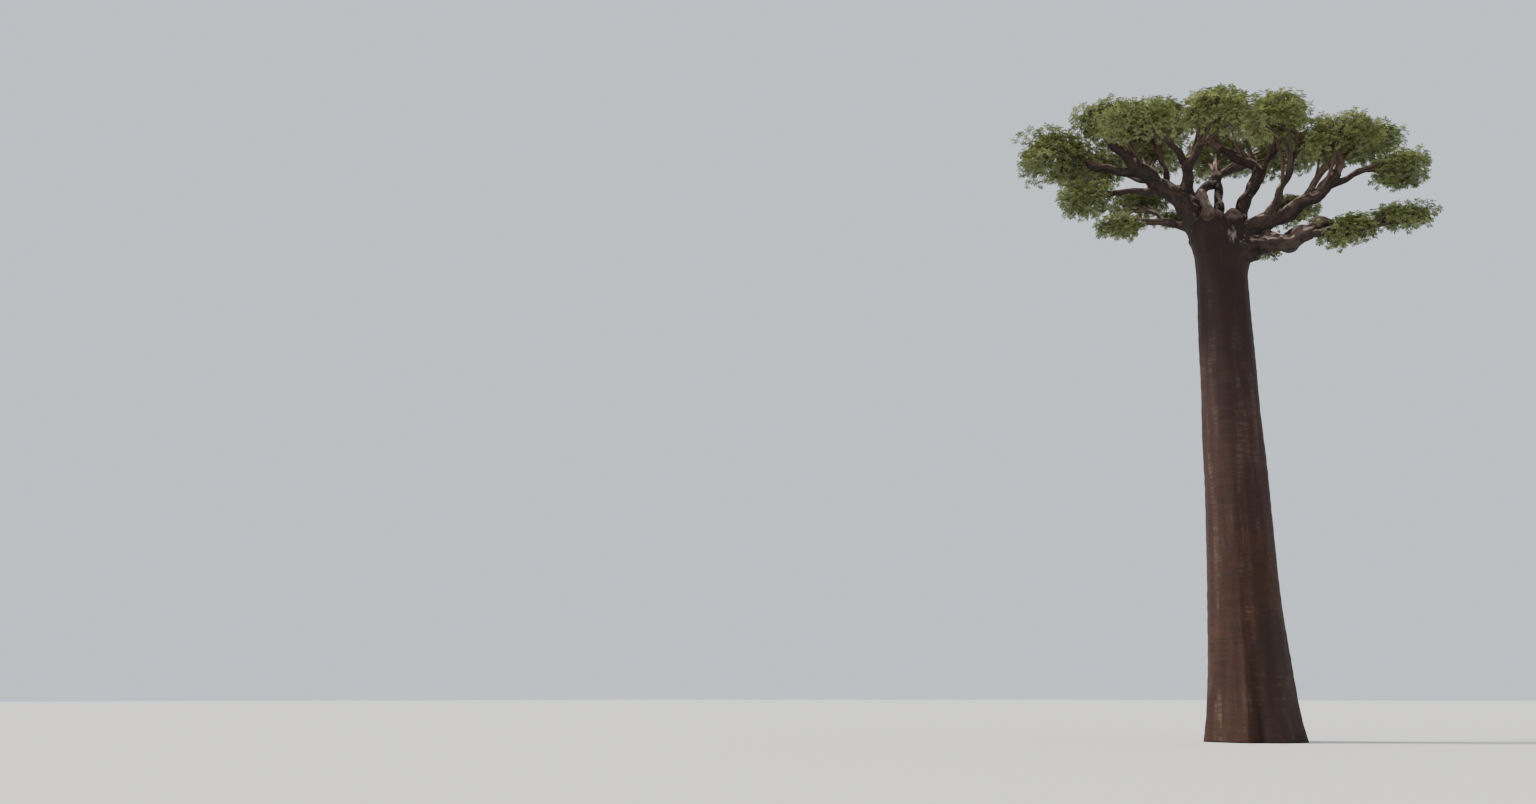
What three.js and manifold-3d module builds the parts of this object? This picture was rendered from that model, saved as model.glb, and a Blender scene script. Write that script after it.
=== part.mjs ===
// A tall baobab tree with a flat, spreading crown: one smooth tapering trunk, heavy boughs that fork at its
// head, and masses of twigs and leaf sprays on the boughs' ends.
// Millimetres, +Z up. The origin is the middle of the flat cut at ground level, +X is to the viewer's
// right and -Y is towards the viewer.

import * as THREE from "three";
import { mergeVertices } from "three/addons/utils/BufferGeometryUtils.js";
import Module from "manifold-3d";

const wasm = await Module();
wasm.setup();

// Driving dimensions of the trunk
const TRUNK_TOP = 19100; // height of the trunk's head, where the boughs fork
const NECK_HEIGHT = 16800; // the trunk is slimmest here
const NECK_RADIUS = 900;
const TAPER = 500; // how much the radius gains from the neck to the ground
const TAPER_POWER = 1.25;
const HEAD_SWELL = 140; // the head widens under the boughs
const SWELL_POWER = 1.5;
const HEAD_ROUND = 1000; // the head closes as a dome over this height
// The dome's rings: how far below its top, and share of the radius
const HEAD_RINGS = [[500, 0.9], [134, 0.62], [0, 0.3]];
const FLARE = 210; // root flare at the ground
const FLARE_HEIGHT = 1500;
const LEAN_X = -150; // the axis stands this far off the foot at the neck
const FLUTES = 7; // shallow folds that run down into the roots
const FLUTE_DEPTH = 75;
const FLUTE_TURN = 0.7;
const BUTTRESS = 70; // one stronger fold on the right of the foot
const BUTTRESS_HEIGHT = 2400;
const BUTTRESS_BEARING = -32;
const BUTTRESS_SPREAD = 34;
const TRUNK_SIDES = 28;
const TRUNK_STEPS = 15;
const STEP_POWER = 1.5; // the trunk's rings are closer together towards the ground

// Boughs
const BOUGH_SIDES = 8;
const BOUGH_STEPS = 8;
const COLLAR = 0.35; // a bough is this much thicker where it leaves its parent
const HEAD_COLLAR = 0.6; // and this much where it leaves the trunk's head
const COLLAR_LENGTH = 550;
const GAP = 0.35; // face-to-face clearance between neighbouring solids

// The twigs of a mass. Places are shares of its half sizes, out from its middle.
// Radii along the leader, the side twigs and the shoots
const TWIG = { heart: 92, side: 46, end: 42, base: 20, tip: 26 };
const STEM_SHARE = 0.9; // the leader's thickness where it goes on from the bough's tip
const STEM_TAPER = 0.8;
const STEM_STRAIGHT = 0.35; // the share of the way to the heart over which it keeps the bough's direction
const HEART_BACK = 0.2; // the leader's heart lies this far back from the middle, towards the bough
const HUBS = 4; // the leader's own end and the side twigs
const HUB_REACH = 0.3;
const LOWEST_HUB = -0.1;
const HUB_TURN = 0.8;
const SIDE_ROOTS = [0.5, 0.95]; // side twigs leave the leader between these shares of its way to the heart
const FEWEST_ENDS = 6;
const END_AREA = 1.3e6; // one shoot for this much of the mass's surface
const END_REACH = [0.42, 0.55];
const LOWEST_END = -0.4;
const SHOOT_ROOTS = [0.4, 0.9]; // shoots leave between these shares of a twig

// The leaf spray on each shoot: a fan of pointed lobes. Lengths are shares of the spray's own.
const SPRAY_LOBES = [[76, 0.84], [38, 0.97], [0, 1], [-38, 0.97], [-76, 0.84]]; // turn in degrees, and length
const SPRAY_NOTCH = 0.62; // how far out the cuts between lobes are, as a share of the lobe's length
const SPRAY_MIDDLE = 0.3; // it is thickest here
const SPRAY_THICKNESS = 0.05;
const SPRAY_DROOP = 0.18;
const SPRAY_TRIES = [1, 0.85, 0.7, 0.55]; // shorter and shorter, until it fits
const SPRAY_LENGTHS = [260, 1200];
const SPRAY_REACH = [0.92, 0.99]; // how near its tip comes to the edge of the space
const SPRAY_BODY = 0.3; // half its width, as far as it keeps clear of limbs
const STEEPEST = 0.7; // the most that it points upward
const ALONG_TWIG = 0.55; // between pointing outward at 0 and along its twig at 1
const SWING = 0.4; // radians to either side
const TILT = 0.45;

// Spaces
const MARGIN = 60; // between a mass's outermost corner and the wall to its neighbour
const FLATNESS = 1.5; // spaces are divided as if the crown were this much taller
const CUSHION = 2.8; // 2 would make a space an egg, and more gives it flatter sides and fuller corners
const HALVINGS = 16;
const LIMB_CLEARANCE = 12;
const LIMB_STEP = 120; // between the places where a limb's clearance is tested

// The masses of foliage: the middle of each, and its half sizes along X, Y and Z
const MASSES = {
  left_rise: { centre: [-3750, -1500, 22420], half: [1600, 1900, 900] },
  left_tip: { centre: [-5950, -300, 21850], half: [1750, 2100, 1200] },
  left_low: { centre: [-4900, -100, 20000], half: [1350, 1600, 720] },
  left_back: { centre: [-4900, 2600, 22200], half: [1650, 1800, 950] },
  left_under: { centre: [-3000, 1400, 20150], half: [1300, 1300, 650] },
  left_foot: { centre: [-3700, -300, 18740], half: [1050, 1100, 600] },
  left_spray: { centre: [-1900, 1200, 19320], half: [750, 750, 400] },
  front_left: { centre: [-2600, -3400, 21660], half: [1750, 1850, 760] },
  front: { centre: [0, -3700, 21500], half: [1700, 1850, 720] },
  front_right: { centre: [1850, -3100, 21280], half: [1500, 1850, 820] },
  crown_left: { centre: [-2200, 100, 22750], half: [1800, 2000, 970] },
  crown: { centre: [-100, 150, 22950], half: [1500, 2050, 920] },
  crown_right: { centre: [2000, -500, 22200], half: [1400, 2000, 1000] },
  back_left: { centre: [-2700, 3500, 22900], half: [1750, 1800, 820] },
  back: { centre: [0, 3900, 22600], half: [1700, 1800, 1150] },
  back_right: { centre: [2400, 3400, 22350], half: [1700, 1800, 1050] },
  right_rise: { centre: [4000, -1300, 20950], half: [1750, 1850, 950] },
  right_tip: { centre: [6150, -100, 20000], half: [1150, 2000, 680] },
  right_back: { centre: [5100, 2000, 21850], half: [1700, 1850, 1000] },
  right_low: { centre: [4200, -100, 17930], half: [1400, 1400, 750] },
  right_low_tip: { centre: [6100, 0, 18270], half: [1450, 1300, 560] },
  right_back_low: { centre: [2650, 2800, 19800], half: [1100, 1200, 780] },
  right_foot: { centre: [1500, 800, 17620], half: [550, 650, 320] },
};

// The boughs, each named after its mass. One leaves the trunk's head (height, out from its axis, bearing) or
// a parent bough (share of the way along it). Bearings are in degrees from +X, seen from above, and slopes
// are above the horizon. pull is how far the curve holds its first and its last slope, as a share of its span.
// A bough that bends round a wide gap is split at that step along it.
const BOUGHS = [
  {
    name: "left_rise", height: 18500, out: 540, bearing: 188, leave: [188, 64], arrive: [190, 48],
    tip: [-3800, -1200, 21800], girth: [760, 320], pull: [0.35, 0.25],
  },
  {
    name: "right_rise", height: 18300, out: 500, bearing: -20, leave: [-16, 0], arrive: [-6, 52],
    tip: [4000, -650, 20000], girth: [600, 340], pull: [0.48, 0.3],
  },
  {
    name: "right_low", height: 17600, out: 300, bearing: -25, leave: [-16, 0], arrive: [0, 42],
    tip: [3150, -600, 18120], girth: [800, 500], pull: [0.5, 0.35],
  },
  {
    name: "crown", height: 18350, out: 560, bearing: -12, leave: [-14, 74], arrive: [186, 30],
    tip: [50, 0, 21600], girth: [480, 320], pull: [0.58, 0.82], split: 4,
  },
  {
    name: "front", parent: "left_rise", at: 0.2, leave: [230, 84], arrive: [300, 28],
    tip: [-600, -2250, 21050], girth: [460, 260], pull: [0.5, 0.3],
  },
  {
    name: "back_right", height: 18500, out: 640, bearing: 158, leave: [165, 78], arrive: [52, 25],
    tip: [1200, 2900, 21900], girth: [430, 230], pull: [0.5, 0.35], split: 4,
  },
  {
    name: "back", height: 18450, out: 350, bearing: 80, leave: [96, 74], arrive: [92, 45],
    tip: [-150, 2500, 22000], girth: [380, 220], pull: [0.45, 0.35],
  },
  {
    name: "back_left", parent: "left_rise", at: 0.3, leave: [140, 36], arrive: [112, 45],
    tip: [-2850, 2400, 22050], girth: [340, 210], pull: [0.4, 0.35],
  },
  {
    name: "left_tip", parent: "left_rise", at: 0.62, leave: [178, 10], arrive: [178, 8],
    tip: [-5300, -450, 21450], girth: [320, 200], pull: [0.35, 0.35],
  },
  {
    name: "left_low", parent: "left_rise", at: 0.45, leave: [186, -8], arrive: [172, 8],
    tip: [-4000, -500, 20150], girth: [270, 170], pull: [0.4, 0.3],
  },
  {
    name: "left_back", parent: "back_left", at: 0.5, leave: [172, 20], arrive: [160, 24],
    tip: [-4300, 2100, 22050], girth: [260, 170], pull: [0.35, 0.3],
  },
  {
    name: "crown_left", parent: "left_rise", at: 0.42, leave: [80, 78], arrive: [150, 65],
    tip: [-2350, 150, 22150], girth: [200, 130], pull: [0.4, 0.4],
  },
  {
    name: "front_left", parent: "front", at: 0.6, leave: [205, 40], arrive: [220, 34],
    tip: [-1850, -2400, 21350], girth: [260, 160], pull: [0.35, 0.3],
  },
  {
    name: "front_right", parent: "right_rise", at: 0.26, leave: [-28, 36], arrive: [-42, 38],
    tip: [2750, -1800, 20600], girth: [340, 180], pull: [0.35, 0.3],
  },
  {
    name: "crown_right", parent: "crown", at: 0.45, leave: [-10, 50], arrive: [0, 60],
    tip: [2100, -250, 21500], girth: [210, 140], pull: [0.35, 0.3],
  },
  {
    name: "right_back", parent: "right_rise", at: 0.5, leave: [56, 24], arrive: [44, 36],
    tip: [3900, 1450, 21000], girth: [260, 170], pull: [0.35, 0.3],
  },
  {
    name: "right_tip", parent: "right_rise", at: 0.84, leave: [0, 8], arrive: [6, 0],
    tip: [5100, -300, 20050], girth: [230, 150], pull: [0.35, 0.3],
  },
  {
    name: "right_low_tip", parent: "right_low", at: 0.8, leave: [-28, 0], arrive: [10, 6],
    tip: [5100, -150, 18000], girth: [250, 150], pull: [0.35, 0.4],
  },
  {
    name: "right_back_low", height: 18150, out: 560, bearing: 42, leave: [46, 20], arrive: [56, 24],
    tip: [1850, 2100, 19450], girth: [240, 140], pull: [0.4, 0.4],
  },
  {
    name: "right_foot", parent: "right_low", at: 0.22, leave: [80, 0], arrive: [66, 0],
    tip: [1300, 400, 17550], girth: [140, 90], pull: [0.35, 0.3],
  },
  {
    name: "left_foot", height: 18500, out: 700, bearing: 178, leave: [180, 18], arrive: [184, -10],
    tip: [-2950, -350, 18850], girth: [300, 150], pull: [0.4, 0.4],
  },
  {
    name: "left_under", parent: "left_foot", at: 0.5, leave: [150, 26], arrive: [126, 26],
    tip: [-2750, 650, 19700], girth: [200, 120], pull: [0.35, 0.3],
  },
  {
    name: "left_spray", height: 18400, out: 700, bearing: 146, leave: [142, 26], arrive: [128, 16],
    tip: [-1600, 750, 19050], girth: [150, 90], pull: [0.35, 0.3],
  },
];

// A short broken limb that leans to the viewer's left
const STUB = {
  name: "stub", height: 18500, out: 660, bearing: 252, leave: [262, 62], arrive: [172, 62],
  tip: [-840, -1000, 19700], girth: [360, 290], pull: [0.35, 0.3],
};

const BARK = new THREE.MeshStandardMaterial({ color: 0x5b4339, roughness: 0.9, metalness: 0 });
const LEAF = new THREE.MeshStandardMaterial({ color: 0x6d8a2e, roughness: 0.75, metalness: 0 });

const UP = new THREE.Vector3(0, 0, 1);
const EAST = new THREE.Vector3(1, 0, 0);
const GOLDEN_ANGLE = Math.PI * (3 - Math.sqrt(5));

function radians(degrees) {
  return (degrees * Math.PI) / 180;
}

// A repeatable number from 0 to 1 for up to three whole numbers
function chance(a, b = 0, c = 0) {
  const wave = Math.sin(a * 12.9898 + b * 78.233 + c * 37.719) * 43758.5453;
  return wave - Math.floor(wave);
}

// The unit vector with that bearing and slope
function heading([bearing, slope]) {
  const b = radians(bearing);
  const s = radians(slope);
  return new THREE.Vector3(Math.cos(b) * Math.cos(s), Math.sin(b) * Math.cos(s), Math.sin(s));
}

// A closed body through rings of points: a band between each ring and the next, and a fan at each end
function loft(rings) {
  const n = rings[0].length;
  const positions = rings.flat().flatMap((p) => [p.x, p.y, p.z]);
  const index = [];
  for (let r = 0; r + 1 < rings.length; r++) {
    for (let k = 0; k < n; k++) {
      const a = r * n + k;
      const b = r * n + ((k + 1) % n);
      index.push(a, b, b + n, a, b + n, a + n);
    }
  }
  const last = (rings.length - 1) * n;
  for (let k = 1; k + 1 < n; k++) {
    index.push(0, k + 1, k, last, last + k, last + k + 1);
  }
  const geometry = new THREE.BufferGeometry();
  geometry.setAttribute("position", new THREE.Float32BufferAttribute(positions, 3));
  geometry.setIndex(index);
  return geometry;
}

function solidOf(geometry) {
  const merged = mergeVertices(geometry, 1e-3);
  return new wasm.Manifold(
    new wasm.Mesh({
      numProp: 3,
      vertProperties: new Float32Array(merged.attributes.position.array),
      triVerts: new Uint32Array(merged.index.array),
    }),
  );
}

function geometryOf(solid) {
  const { numProp, numVert, vertProperties, triVerts } = solid.getMesh();
  const positions = new Float32Array(numVert * 3);
  for (let i = 0; i < numVert; i++) {
    positions.set(vertProperties.subarray(i * numProp, i * numProp + 3), i * 3);
  }
  const geometry = new THREE.BufferGeometry();
  geometry.setAttribute("position", new THREE.BufferAttribute(positions, 3));
  geometry.setIndex(new THREE.BufferAttribute(triVerts, 1));
  return geometry;
}

function largestPiece(solid) {
  return solid.decompose().reduce((a, b) => (b.volume() > a.volume() ? b : a));
}

function trunkAxis(z) {
  const rise = Math.min(z / NECK_HEIGHT, 1);
  return new THREE.Vector3(LEAN_X * Math.sin((rise * Math.PI) / 2), 0, z);
}

// The trunk's radius at height z and angle a: a taper, a root flare, folds that fade upward and a swollen
// head
function trunkRadius(z, a) {
  const below = Math.max(1 - z / NECK_HEIGHT, 0);
  const above = Math.max(z - NECK_HEIGHT, 0) / (TRUNK_TOP - NECK_HEIGHT);
  const foot = Math.exp(-z / FLARE_HEIGHT);
  let turn = (a - radians(BUTTRESS_BEARING)) % (2 * Math.PI);
  if (turn > Math.PI) turn -= 2 * Math.PI;
  if (turn < -Math.PI) turn += 2 * Math.PI;
  const buttress = BUTTRESS * Math.exp(-((turn / radians(BUTTRESS_SPREAD)) ** 2) - z / BUTTRESS_HEIGHT);
  const flutes = FLUTE_DEPTH * foot * Math.cos(FLUTES * a + FLUTE_TURN);
  const swell = HEAD_SWELL * above ** SWELL_POWER;
  return NECK_RADIUS + TAPER * below ** TAPER_POWER + FLARE * foot + swell + buttress + flutes;
}

function trunkRing(z, grow, shrink = 1) {
  const axis = trunkAxis(z);
  return Array.from({ length: TRUNK_SIDES }, (_, k) => {
    const a = (2 * Math.PI * k) / TRUNK_SIDES;
    const r = trunkRadius(z, a) * shrink + grow;
    return new THREE.Vector3(axis.x + r * Math.cos(a), axis.y + r * Math.sin(a), z);
  });
}

function trunkSolid(grow = 0) {
  const rings = Array.from({ length: TRUNK_STEPS + 1 }, (_, i) =>
    trunkRing((i / TRUNK_STEPS) ** STEP_POWER * (TRUNK_TOP - HEAD_ROUND), grow),
  );
  for (const [below, shrink] of HEAD_RINGS) {
    rings.push(trunkRing(TRUNK_TOP - below + grow, grow, shrink));
  }
  return solidOf(loft(rings));
}

function massSpace(name) {
  const { centre, half } = MASSES[name];
  return { name, centre: new THREE.Vector3(...centre), half: new THREE.Vector3(...half) };
}

// How far out an offset in shares of the half sizes lies: 0 at the middle of a space and 1 at its edge
function outness({ x, y, z }) {
  return [x, y, z].reduce((sum, v) => sum + Math.abs(v) ** CUSHION, 0) ** (1 / CUSHION);
}

function share(space, p) {
  return outness(p.clone().sub(space.centre).divide(space.half));
}

// The curve of a bough, from its root inside the trunk or its parent to its tip at the edge of its mass
function boughCurve(bough, curves) {
  const root = bough.parent
    ? curves.get(bough.parent).getPointAt(bough.at)
    : trunkAxis(bough.height).addScaledVector(heading([bough.bearing, 0]), bough.out);
  const tip = new THREE.Vector3(...bough.tip);
  const span = tip.distanceTo(root);
  return new THREE.CubicBezierCurve3(
    root,
    root.clone().addScaledVector(heading(bough.leave), span * bough.pull[0]),
    tip.clone().addScaledVector(heading(bough.arrive), -span * bough.pull[1]),
    tip,
  );
}

function boughRadius(bough, t, length) {
  const [first, last] = bough.girth;
  const collar = 1 + (bough.parent ? COLLAR : HEAD_COLLAR) * Math.exp((-t * length) / COLLAR_LENGTH);
  return (THREE.MathUtils.lerp(first, last, t) / 2) * collar;
}

// The body of a bough from one of its steps to another, grown outwards all round and at both ends
function boughSolid(bough, curve, first, last, grow = 0) {
  const frames = curve.computeFrenetFrames(BOUGH_STEPS, false);
  const length = curve.getLength();
  const rings = [];
  for (let i = first; i <= last; i++) {
    const t = i / BOUGH_STEPS;
    const beyond = i === first ? -grow : i === last ? grow : 0;
    const middle = curve.getPointAt(t).addScaledVector(frames.tangents[i], beyond);
    const r = boughRadius(bough, t, length) + grow;
    rings.push(
      Array.from({ length: BOUGH_SIDES }, (_, k) => {
        const a = (2 * Math.PI * k) / BOUGH_SIDES;
        return middle
          .clone()
          .addScaledVector(frames.normals[i], r * Math.cos(a))
          .addScaledVector(frames.binormals[i], r * Math.sin(a));
      }),
    );
  }
  return solidOf(loft(rings));
}

// A three-sided twig through the points, with its radius at each
function twigSolid(points, radii) {
  const along = points.map((p, i) => {
    const next = points[Math.min(i + 1, points.length - 1)];
    return next.clone().sub(points[Math.max(i - 1, 0)]).normalize();
  });
  const side = new THREE.Vector3().crossVectors(along[0], Math.abs(along[0].z) > 0.9 ? EAST : UP);
  return solidOf(
    loft(
      points.map((p, i) => {
        side.addScaledVector(along[i], -side.dot(along[i])).normalize();
        const other = new THREE.Vector3().crossVectors(along[i], side);
        return [0, 1, 2].map((k) => {
          const a = (2 * Math.PI * k) / 3;
          return p
            .clone()
            .addScaledVector(side, radii[i] * Math.cos(a))
            .addScaledVector(other, radii[i] * Math.sin(a));
        });
      }),
    ),
  );
}

// A shoot: a three-sided twig that ends in a leaf spray, one thin fan of pointed lobes as a baobab's own
// leaves are, which droops towards its sides. The fan's rim starts and ends on the twig's own corners.
function shootSolid(from, end, direction, flat, length) {
  const side = new THREE.Vector3().crossVectors(direction, flat).normalize();
  const up = new THREE.Vector3().crossVectors(side, direction);
  const ring = (p, r) => [
    p.clone().addScaledVector(side, r),
    p.clone().addScaledVector(side, -r),
    p.clone().addScaledVector(up, r),
  ];
  const at = (reach, degrees, lift) => {
    const across = Math.sin(radians(degrees)) * reach;
    return end
      .clone()
      .addScaledVector(direction, Math.cos(radians(degrees)) * reach * length)
      .addScaledVector(side, across * length)
      .addScaledVector(up, (lift - SPRAY_DROOP * across * across) * length);
  };
  const lobes = SPRAY_LOBES.flatMap(([degrees, reach], i) => {
    const tip = at(reach, degrees, 0);
    return i ? [at(SPRAY_NOTCH * reach, (degrees + SPRAY_LOBES[i - 1][0]) / 2, 0), tip] : [tip];
  });
  const [right, left, top] = ring(end, TWIG.tip);
  const upper = at(SPRAY_MIDDLE, 0, SPRAY_THICKNESS / 2);
  const lower = at(SPRAY_MIDDLE, 0, -SPRAY_THICKNESS / 2);
  const points = [...ring(from, TWIG.base), right, left, top, upper, lower, ...lobes];
  const index = [0, 2, 1];
  for (const [p, q] of [[0, 1], [1, 2], [2, 0]]) {
    index.push(p, q + 3, p + 3, p, q, q + 3);
  }
  const rim = [3, ...lobes.map((_, k) => k + 8), 4];
  const close = (loop, middle) => loop.flatMap((p, k) => [p, loop[(k + 1) % loop.length], middle]);
  index.push(...close([...rim, 5], 6), ...close([...rim].reverse(), 7));
  const geometry = new THREE.BufferGeometry().setFromPoints(points);
  geometry.setIndex(index);
  return { solid: solidOf(geometry), corners: [upper, lower, ...lobes], tip: at(1, 0, 0) };
}

// Spaces are divided by flat walls, so a body whose corners keep to a space lies in it
function keepsToSpace(space, spaces, p) {
  if (share(space, p) > 1) return false;
  const stretch = new THREE.Vector3(1, 1, FLATNESS);
  const size = (s) => s.half.x * s.half.y;
  const power = (s) => p.clone().sub(s.centre).multiply(stretch).lengthSq() - size(s);
  const own = power(space);
  return spaces.every((other) => {
    if (other === space) return true;
    const apart = other.centre.clone().sub(space.centre).multiply(stretch).length();
    return (power(other) - own) / (2 * apart) > MARGIN;
  });
}

// Where the n-th of count directions points, spread evenly by the golden angle from the top down to lowest
function spread(n, count, lowest, turn) {
  const z = 1 - (1 - lowest) * ((n + 0.5) / count);
  const a = n * GOLDEN_ANGLE + turn;
  const r = Math.sqrt(Math.max(1 - z * z, 0));
  return new THREE.Vector3(r * Math.cos(a), r * Math.sin(a), z);
}

// The distance from p along direction to the edge of the space, found by halving
function toEdge(space, p, direction) {
  let near = 0;
  let far = 4 * Math.max(space.half.x, space.half.y);
  for (let i = 0; i < HALVINGS; i++) {
    const middle = (near + far) / 2;
    if (share(space, p.clone().addScaledVector(direction, middle)) < 1) near = middle;
    else far = middle;
  }
  return near;
}

// Whether a straight stretch of that radius passes clear of every limb
function clearOfLimbs(limbs, from, to, radius) {
  const line = new THREE.Line3(from, to);
  const nearest = new THREE.Vector3();
  return limbs.every(({ point, reach }) => {
    line.closestPointToPoint(point, true, nearest);
    return nearest.distanceTo(point) > reach + radius + LIMB_CLEARANCE;
  });
}

// A number between the two
function between([low, high], share) {
  return low + (high - low) * share;
}

// The leader of a mass goes on from its bough's tip to its heart and up, and side twigs leave it
function massTwigs(seed, bough, curve, space, passes) {
  const tip = curve.getPoint(1);
  const inward = curve.getTangent(1);
  const start = tip.clone().addScaledVector(inward, GAP);
  const heart = space.centre.clone().lerp(tip, HEART_BACK);
  const elbow = start.clone().addScaledVector(inward, STEM_STRAIGHT * heart.distanceTo(start));
  const stem = (bough.girth[1] / 2) * STEM_SHARE;
  const turn = 2 * Math.PI * chance(seed) + HUB_TURN;
  const hub = (h) => {
    const out = spread(h, HUBS, LOWEST_HUB, turn).multiply(space.half).multiplyScalar(HUB_REACH);
    return space.centre.clone().add(out);
  };
  const leader = [start, elbow, heart, hub(0)];
  const solids = [twigSolid(leader, [stem, Math.max(STEM_TAPER * stem, TWIG.heart), TWIG.heart, TWIG.end])];
  const twigs = [[heart, hub(0)]];
  for (let h = 1; h < HUBS; h++) {
    const from = elbow.clone().lerp(heart, between(SIDE_ROOTS, h / HUBS));
    const to = hub(h);
    if (passes(from, to, TWIG.side, [to])) {
      solids.push(twigSolid([from, to], [TWIG.side, TWIG.end]));
      twigs.push([from, to]);
    }
  }
  return { twigs, solids };
}

// The n-th of count shoots: from the nearest twig towards the edge of the space, or nothing where none fits
function massShoot(seed, n, count, space, twigs, passes) {
  const turn = 2 * Math.PI * chance(seed);
  const out = spread(n, count, LOWEST_END, turn);
  const far = between(END_REACH, chance(seed, n, 1));
  const end = space.centre.clone().add(out.clone().multiply(space.half).multiplyScalar(far / outness(out)));
  const [base, top] = twigs.reduce((p, q) => (q[1].distanceTo(end) < p[1].distanceTo(end) ? q : p));
  const from = base.clone().lerp(top, between(SHOOT_ROOTS, chance(seed, n, 5)));
  if (!passes(from, end, TWIG.tip, [end])) return null;
  const along = end.clone().sub(from).normalize();
  const outward = out.clone().divide(space.half).normalize();
  const swing = between([-SWING, SWING], chance(seed, n, 2));
  const direction = outward.lerp(along, ALONG_TWIG).normalize().applyAxisAngle(UP, swing);
  direction.setZ(Math.min(direction.z, STEEPEST)).normalize();
  const flat = UP.clone().applyAxisAngle(direction, between([-TILT, TILT], chance(seed, n, 3)));
  const [shortest, longest] = SPRAY_LENGTHS;
  const reach = Math.min(toEdge(space, end, direction) * between(SPRAY_REACH, chance(seed, n, 4)), longest);
  for (const share of SPRAY_TRIES) {
    const length = share * reach;
    const { solid, corners, tip } = shootSolid(from, end, direction, flat, length);
    if (length > shortest && passes(end, tip, SPRAY_BODY * length, corners)) return solid;
  }
  return null;
}

// One mass, as one body cut clear of every limb
function massSolid(seed, bough, curve, spaces, limbs, cutter) {
  const space = spaces.find((s) => s.name === bough.name);
  const passes = (from, to, radius, corners) =>
    corners.every((p) => keepsToSpace(space, spaces, p)) && clearOfLimbs(limbs, from, to, radius);
  const { twigs, solids } = massTwigs(seed, bough, curve, space, passes);
  const { x: a, y: b, z: c } = space.half;
  const surface = 2 * Math.PI * Math.cbrt(a * b * c) ** 2;
  const count = Math.max(FEWEST_ENDS, Math.round(surface / END_AREA));
  for (let n = 0; n < count; n++) {
    const shoot = massShoot(seed, n, count, space, twigs, passes);
    if (shoot) solids.push(shoot);
  }
  return largestPiece(solids.reduce((all, solid) => all.add(solid)).subtract(cutter));
}

const tree = new THREE.Group();

function show(name, solid, material) {
  const mesh = new THREE.Mesh(geometryOf(solid), material);
  mesh.name = name;
  tree.add(mesh);
}

show("trunk", trunkSolid(), BARK);

// Each bough is cut clear of the trunk and of the boughs before it. limbs holds balls strung along every
// limb.
const curves = new Map();
const limbs = [];
for (let z = NECK_HEIGHT; z < TRUNK_TOP; z += LIMB_STEP) {
  limbs.push({ point: trunkAxis(z), reach: trunkRadius(z, 0) });
}
let cutter = trunkSolid(GAP);
for (const bough of [...BOUGHS, STUB]) {
  const curve = boughCurve(bough, curves);
  curves.set(bough.name, curve);
  const last = bough.split ?? BOUGH_STEPS;
  const lower = boughSolid(bough, curve, 0, last);
  show("bough_" + bough.name, largestPiece(lower.subtract(cutter)), BARK);
  if (bough.split) {
    cutter = cutter.add(boughSolid(bough, curve, 0, last, GAP));
    const upper = boughSolid(bough, curve, last, BOUGH_STEPS);
    show("bough_" + bough.name + "_bend", largestPiece(upper.subtract(cutter)), BARK);
  }
  cutter = cutter.add(boughSolid(bough, curve, 0, BOUGH_STEPS, GAP));
  const length = curve.getLength();
  for (let d = 0; d < length - LIMB_STEP / 2; d += LIMB_STEP) {
    limbs.push({ point: curve.getPointAt(d / length), reach: boughRadius(bough, d / length, length) });
  }
}

const spaces = Object.keys(MASSES).map(massSpace);
BOUGHS.forEach((bough, i) => {
  show("foliage_" + bough.name, massSolid(i + 1, bough, curves.get(bough.name), spaces, limbs, cutter), LEAF);
});

export default tree;
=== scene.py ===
# %% [markdown]
# A tall baobab tree, built as a lesson in growing a plant from a few rules.
#
# The tree has three kinds of piece: bark (one heavy trunk and its boughs), twigs, and leaves. The frame that
# is loaded first holds plain solids of the same tree. Each piece below takes the place of some of them and
# keeps to their sizes: the bark gets its relief, and every mass of foliage gets finer twigs and its own
# small leaves.

# %% Load the frame
from functools import partial

import bpy
import numpy as np
from mathutils import Euler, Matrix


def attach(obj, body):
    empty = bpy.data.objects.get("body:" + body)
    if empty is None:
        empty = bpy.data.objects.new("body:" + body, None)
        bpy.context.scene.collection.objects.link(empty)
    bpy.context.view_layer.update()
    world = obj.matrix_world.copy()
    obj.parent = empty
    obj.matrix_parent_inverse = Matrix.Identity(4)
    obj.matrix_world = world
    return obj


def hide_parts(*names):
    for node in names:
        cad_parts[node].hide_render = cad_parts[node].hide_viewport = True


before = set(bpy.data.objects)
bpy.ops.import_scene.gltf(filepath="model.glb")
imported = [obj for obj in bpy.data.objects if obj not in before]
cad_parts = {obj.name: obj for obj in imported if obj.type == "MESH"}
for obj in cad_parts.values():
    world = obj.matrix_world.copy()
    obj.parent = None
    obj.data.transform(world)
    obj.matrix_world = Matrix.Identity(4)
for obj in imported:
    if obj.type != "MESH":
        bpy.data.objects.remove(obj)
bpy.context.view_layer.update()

# %% [markdown]
# The camera stands at eye height, 54 m in front of the tree, and looks up past its left side. That low place
# shows the crown from underneath. Blender's camera looks down at rest, so it is tipped up by 90 degrees and
# a little more, and its lens is worked out from a focal length in pixels.

# %% Camera
EYE_HEIGHT = 1.755
CAMERA_DISTANCE = 54.0
FOCAL_PIXELS = 1450
IMAGE_WIDTH = 1536
SENSOR_WIDTH = 36.0
TURN_LEFT = np.radians(18.152)
TILT_UP = np.radians(11.234)


def put_in_scene(name, data):
    """An object with that data, in the scene."""
    thing = bpy.data.objects.new(name, data)
    bpy.context.scene.collection.objects.link(thing)
    return thing


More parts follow.
